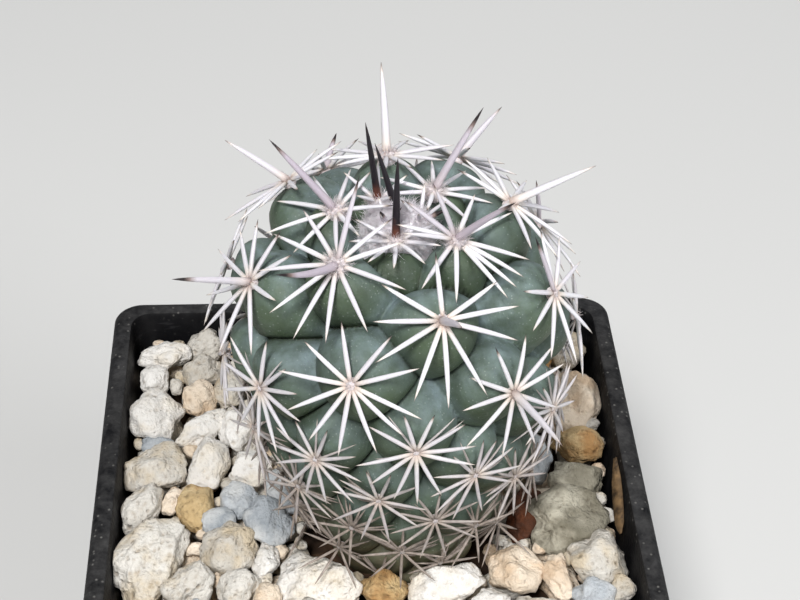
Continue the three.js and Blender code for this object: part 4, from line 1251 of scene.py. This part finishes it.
def stoneForm(key, level, broken):  # a broken lump: a ball with flats, then noise
    points, faces = balls[level]
    limits = [np.full(len(points), 1.0)]
    for k in range(rough["flats"]):
        turn, up = 2 * math.pi * draw(key * 11 + k, 61), 2 * draw(key * 11 + k, 62) - 1
        flat = math.sqrt(1 - up * up)
        toward = points @ np.array([flat * math.cos(turn), flat * math.sin(turn), up])
        away = rough["flatFrom"] + rough["flatAdded"] * draw(key * 11 + k, 63)
        limits.append(away / np.maximum(toward, 0.05))
    sharp = 12 + 26 * broken * (0.5 + 0.5 * draw(key, 64))
    reach = -np.log(sum(np.exp(-sharp * limit) for limit in limits)) / sharp
    shift = Vector((draw(key, 65) * 40, draw(key, 66) * 40, draw(key, 67) * 40))
    waves = [[noise.noise(Vector(p) * scale + shift) for scale in rough["waveScales"]] for p in points]
    crumbly = np.array(waves) * rough["waves"] * [1, 1, broken]
    cells = [noise.voronoi(Vector(p) * rough["pitScale"] + shift) for p in points]
    away = np.array([cell[0][0] for cell in cells])
    chance = np.array([draw(round(cell[1][0].x * 50), round(cell[1][0].y * 50)) for cell in cells])
    pits = np.clip(1 - away / (0.18 + 0.5 * chance), 0, 1) ** 0.7 * (chance < rough["pitted"] * broken)
    dip = np.clip(pits + 0.5 * np.clip(-9 * crumbly[:, 1:].sum(1) - 0.35, 0, 1), 0, 1)
    return points * (reach + crumbly.sum(1) - rough["pitDepth"] * pits)[:, None], faces, dip


def addStone(heap, key, x, y, z, long, wide, high, turn, level, broken=0.8):
    form, faces, dip = stoneForm(key, level, broken)
    size = np.abs(form).max(0)
    form = form / size * 0.5 * np.array([long, wide, high])
    tilt = Matrix.Rotation(math.radians(turn), 3, "Z")
    for salt, axis in ((68, "X"), (69, "Y")):
        tilt = tilt @ Matrix.Rotation(0.4 * (draw(key, salt) - 0.5), 3, axis)
    form = form @ np.array(tilt).T + [x, y, z]
    limit = innerHalf(z) - 0.15
    form[:, :2] = np.clip(form[:, :2], -limit, limit)
    heap.add(form, [faces], 0, tone=draw(key, 70), dip=dip)


brokenShares = {"white": 1.0, "cream": 1.0, "tan": 0.45, "ochre": 0.9, "blue": 0.5, "grey": 0.8, "rust": 0.6}
pebble = {"place": (31.2, 20), "broken": 0.15}  # the tall one is smooth
overSolid = (1.07, 1.07, 1.1)  # noise takes some of each stone away, so it starts larger than its solid
finestFrom = 11.5  # stones longer than this have more points


def makeStones():
    byKind = {}
    for k, p in enumerate(stones):
        heap = byKind.setdefault(p["kind"], MeshHeap())
        size = [grown * p[key] for grown, key in zip(overSolid, ("long", "wide", "high"))]
        level = 5 if max(p["long"], p["wide"]) > finestFrom else 4
        broken = pebble["broken"] if (p["x"], p["y"]) == pebble["place"] else brokenShares[p["kind"]]
        addStone(heap, k, p["x"], p["y"], p["middle"], *size, p["turn"], level, broken)
    for kind, heap in byKind.items():
        finishPiece(heap.build("stones_" + kind, stoneMaterials[kind]), "gravel", "gravel")
    print("stones:", {kind: heap.count for kind, heap in byKind.items()})


makeStones()

chips = {
    "tries": 2600, "least": 2.2, "added": 2.6, "closest": 13.9, "middle": 69.2, "creamShare": 0.7,
    "high": 0.7,  # as a share of the length
    "lowerSide": 11, "lowerStep": 6.5, "lowerShift": 2.4, "lowerClosest": 14.5, "lowerMiddle": 65.6,
    "lowerCreamShare": 0.5, "lowerLeast": 6.2, "lowerAdded": 2, "lowerWide": 0.85, "lowerHigh": 5.0,
}


def chipPlaces():
    places = []
    for k in range(chips["tries"]):
        long = chips["least"] + chips["added"] * draw(k, 81) ** 1.5
        room = innerHalf(bed["top"]) - 0.5 * long
        x, y = room * (2 * draw(k, 82) - 1), room * (2 * draw(k, 83) - 1)
        isFree = isApart(x, y, long, places) and isApart(x, y, 0.6 * long, stones)
        if isFree and fromStem(x, y) >= chips["closest"] + 0.4 * long:
            places.append({"x": x, "y": y, "long": long, "wide": long})
    return places


def makeChips():  # small stones in the gaps, and a layer of them under the big ones
    heaps = {kind: MeshHeap() for kind in ("cream", "tan")}
    places = chipPlaces()
    for k, p in enumerate(places):
        heap = heaps["cream" if draw(k, 84) < chips["creamShare"] else "tan"]
        z, wide = chips["middle"] + 0.9 * draw(k, 85), p["long"] * (0.65 + 0.3 * draw(k, 86))
        high = chips["high"] * p["long"]
        addStone(heap, 500 + k, p["x"], p["y"], z, p["long"], wide, high, 180 * draw(k, 87), 3)
    lower, side = 0, chips["lowerSide"]
    for key in range(side ** 2):
        shiftX, shiftY = (chips["lowerShift"] * (draw(key, salt) - 0.5) for salt in (88, 89))
        x = (key // side - side // 2) * chips["lowerStep"] + shiftX
        y = (key % side - side // 2) * chips["lowerStep"] + shiftY
        if fromStem(x, y) < chips["lowerClosest"]:
            continue
        heap = heaps["cream" if draw(key, 91) < chips["lowerCreamShare"] else "tan"]
        z = chips["lowerMiddle"] + draw(key, 92)
        long = chips["lowerLeast"] + chips["lowerAdded"] * draw(key, 90)
        wide, high = chips["lowerWide"] * long, chips["lowerHigh"]
        addStone(heap, 900 + key, x, y, z, long, wide, high, 180 * draw(key, 93), 3)
        lower += 1
    for kind, heap in heaps.items():
        finishPiece(heap.build("chips_" + kind, stoneMaterials[kind]), "gravel", "gravel")
    print("chips:", len(places), "lower stones:", lower)


makeChips()

grit = {
    "corner": 3.4, "side": 64.5, "edge": 64.2, "top": 64.6, "shares": (0.97, 0.85, 0.7, 0.55, 0.4, 0.25, 0.1),
}


def makeGritBed():  # the closed layer of grit under the stones
    heap = MeshHeap()
    foot, half = bed["soilTop"] + gap, innerHalf(grit["side"]) - gap
    rings = [(innerHalf(foot) - gap, grit["corner"], foot), (half, grit["corner"], grit["edge"])]
    rings += [(half * share, grit["corner"] * share, grit["top"]) for share in grit["shares"]]
    stack = [squareRing(*ring, perCorner=8) for ring in rings]
    for points in stack[2:]:
        points[:, 2] += [0.9 * noise.noise(Vector(p) * 0.35) for p in points]
    closedSkin(heap, stack, tone=0.2)
    finishPiece(heap.build("grit_bed", soilBrown), "gravel", "gravel")


makeGritBed()

straw = {
    "line": [[35.4, -9, 72.4], [35.7, -4.8, 72.9], [36.0, -0.6, 73.5], [36.3, 3.8, 74.5]],
    "width": [[0, 0.4], [0.4, 1.5], [2, 1.7], [3, 0.5]],
    "section": [(-1, -1), (-1.6, 0), (-1, 1), (1, 1), (0.4, 0), (1, -1)],  # lift and side of each corner
    "lift": (-0.6, 0, 0.74), "across": (0.74, 0, 0.6),
}


def makeStraw():  # a dry sliver leaning on the right wall
    heap = MeshHeap()
    shares = np.linspace(0, 3, 16)
    centre = np.stack([np.interp(shares, range(4), [p[k] for p in straw["line"]]) for k in range(3)], 1)
    wide = 0.5 * along(straw["width"], 1, shares)
    lift, across = np.array(straw["lift"]), np.array(straw["across"])
    closedSkin(heap, [
        np.array([c + 0.1 * a * lift + w * b * across for a, b in straw["section"]])
        for c, w in zip(centre, wide)
    ])
    finishPiece(heap.build("straw_sliver", makeStrawFinish()), "gravel", "gravel")


makeStraw()
print("gravel made")


# Floor, light and camera
studio = {
    "floor": colour(204, 204, 202), "floorHalf": 2.5, "world": (0.84, 0.87, 0.92, 1.0), "worldStrength": 0.2,
    "aim": (0, 0, 0.1),
    "lamps": {  # place, size, power, colour
        "keyLight": ((-0.2, -0.54, 0.92), 0.24, 11.4, (1.0, 0.99, 0.985)),
        "fillLight": ((0.62, -0.5, 0.62), 0.5, 4.8, (0.97, 0.98, 1.0)),
        "backLight": ((0.15, 0.75, 0.6), 0.4, 2.0, (1, 1, 1)),
    },
}


def makeFloor():
    mesh = bpy.data.meshes.new("floor")
    half = studio["floorHalf"]
    corners = [(a * half, b * half, 0) for a, b in ((-1, -1), (1, -1), (1, 1), (-1, 1))]
    mesh.from_pydata(corners, [], [(0, 1, 2, 3)])
    mesh.materials.append(newFinish("pale_floor", Base_Color=studio["floor"], Roughness=0.8)[0])
    floor = intoScene("floor", mesh)


def makeStudio():
    world = bpy.data.worlds.new("studio")
    bpy.context.scene.world = world
    world.use_nodes = True
    back = world.node_tree.nodes["Background"]
    back.inputs[0].default_value, back.inputs[1].default_value = studio["world"], studio["worldStrength"]
    for name, (place, size, power, shade) in studio["lamps"].items():
        lamp = bpy.data.lights.new(name, "AREA")
        lamp.shape, lamp.size, lamp.energy, lamp.color = "DISK", size, power, shade
        made = intoScene(name, lamp)
        made.location = place
        made.rotation_euler = (Vector(studio["aim"]) - Vector(place)).to_track_quat("-Z", "Y").to_euler()


photoView = {
    "focalPixels": 1667.4, "widthPixels": 800, "sensor": 36.0,
    "elevation": 41.464, "turn": -4.19, "roll": 1.87, "target": (6.103, 39.403, 75.0), "distance": 272.42,
}


def makeCamera():
    up, turn, roll = (math.radians(photoView[key]) for key in ("elevation", "turn", "roll"))
    back = np.array([math.sin(turn) * math.cos(up), -math.cos(turn) * math.cos(up), math.sin(up)])
    right = unit(np.cross(-back, [0, 0, 1]))
    upward = np.cross(right, -back)
    across = right * math.cos(roll) + upward * math.sin(roll)
    above = -right * math.sin(roll) + upward * math.cos(roll)
    eye = (np.array(photoView["target"]) + back * photoView["distance"]) * mm
    data = bpy.data.cameras.new("photoCamera")
    data.sensor_width, data.clip_start = photoView["sensor"], 0.01
    data.lens = photoView["focalPixels"] / photoView["widthPixels"] * photoView["sensor"]
    camera = intoScene("photoCamera", data)
    turned = np.eye(4)
    turned[:3, 0], turned[:3, 1], turned[:3, 2], turned[:3, 3] = across, above, back, eye
    camera.matrix_world = Matrix(turned.tolist())
    bpy.context.scene.camera = camera


makeFloor()
makeStudio()
makeCamera()
bpy.context.scene.view_settings.view_transform = "Standard"
print("studio made")
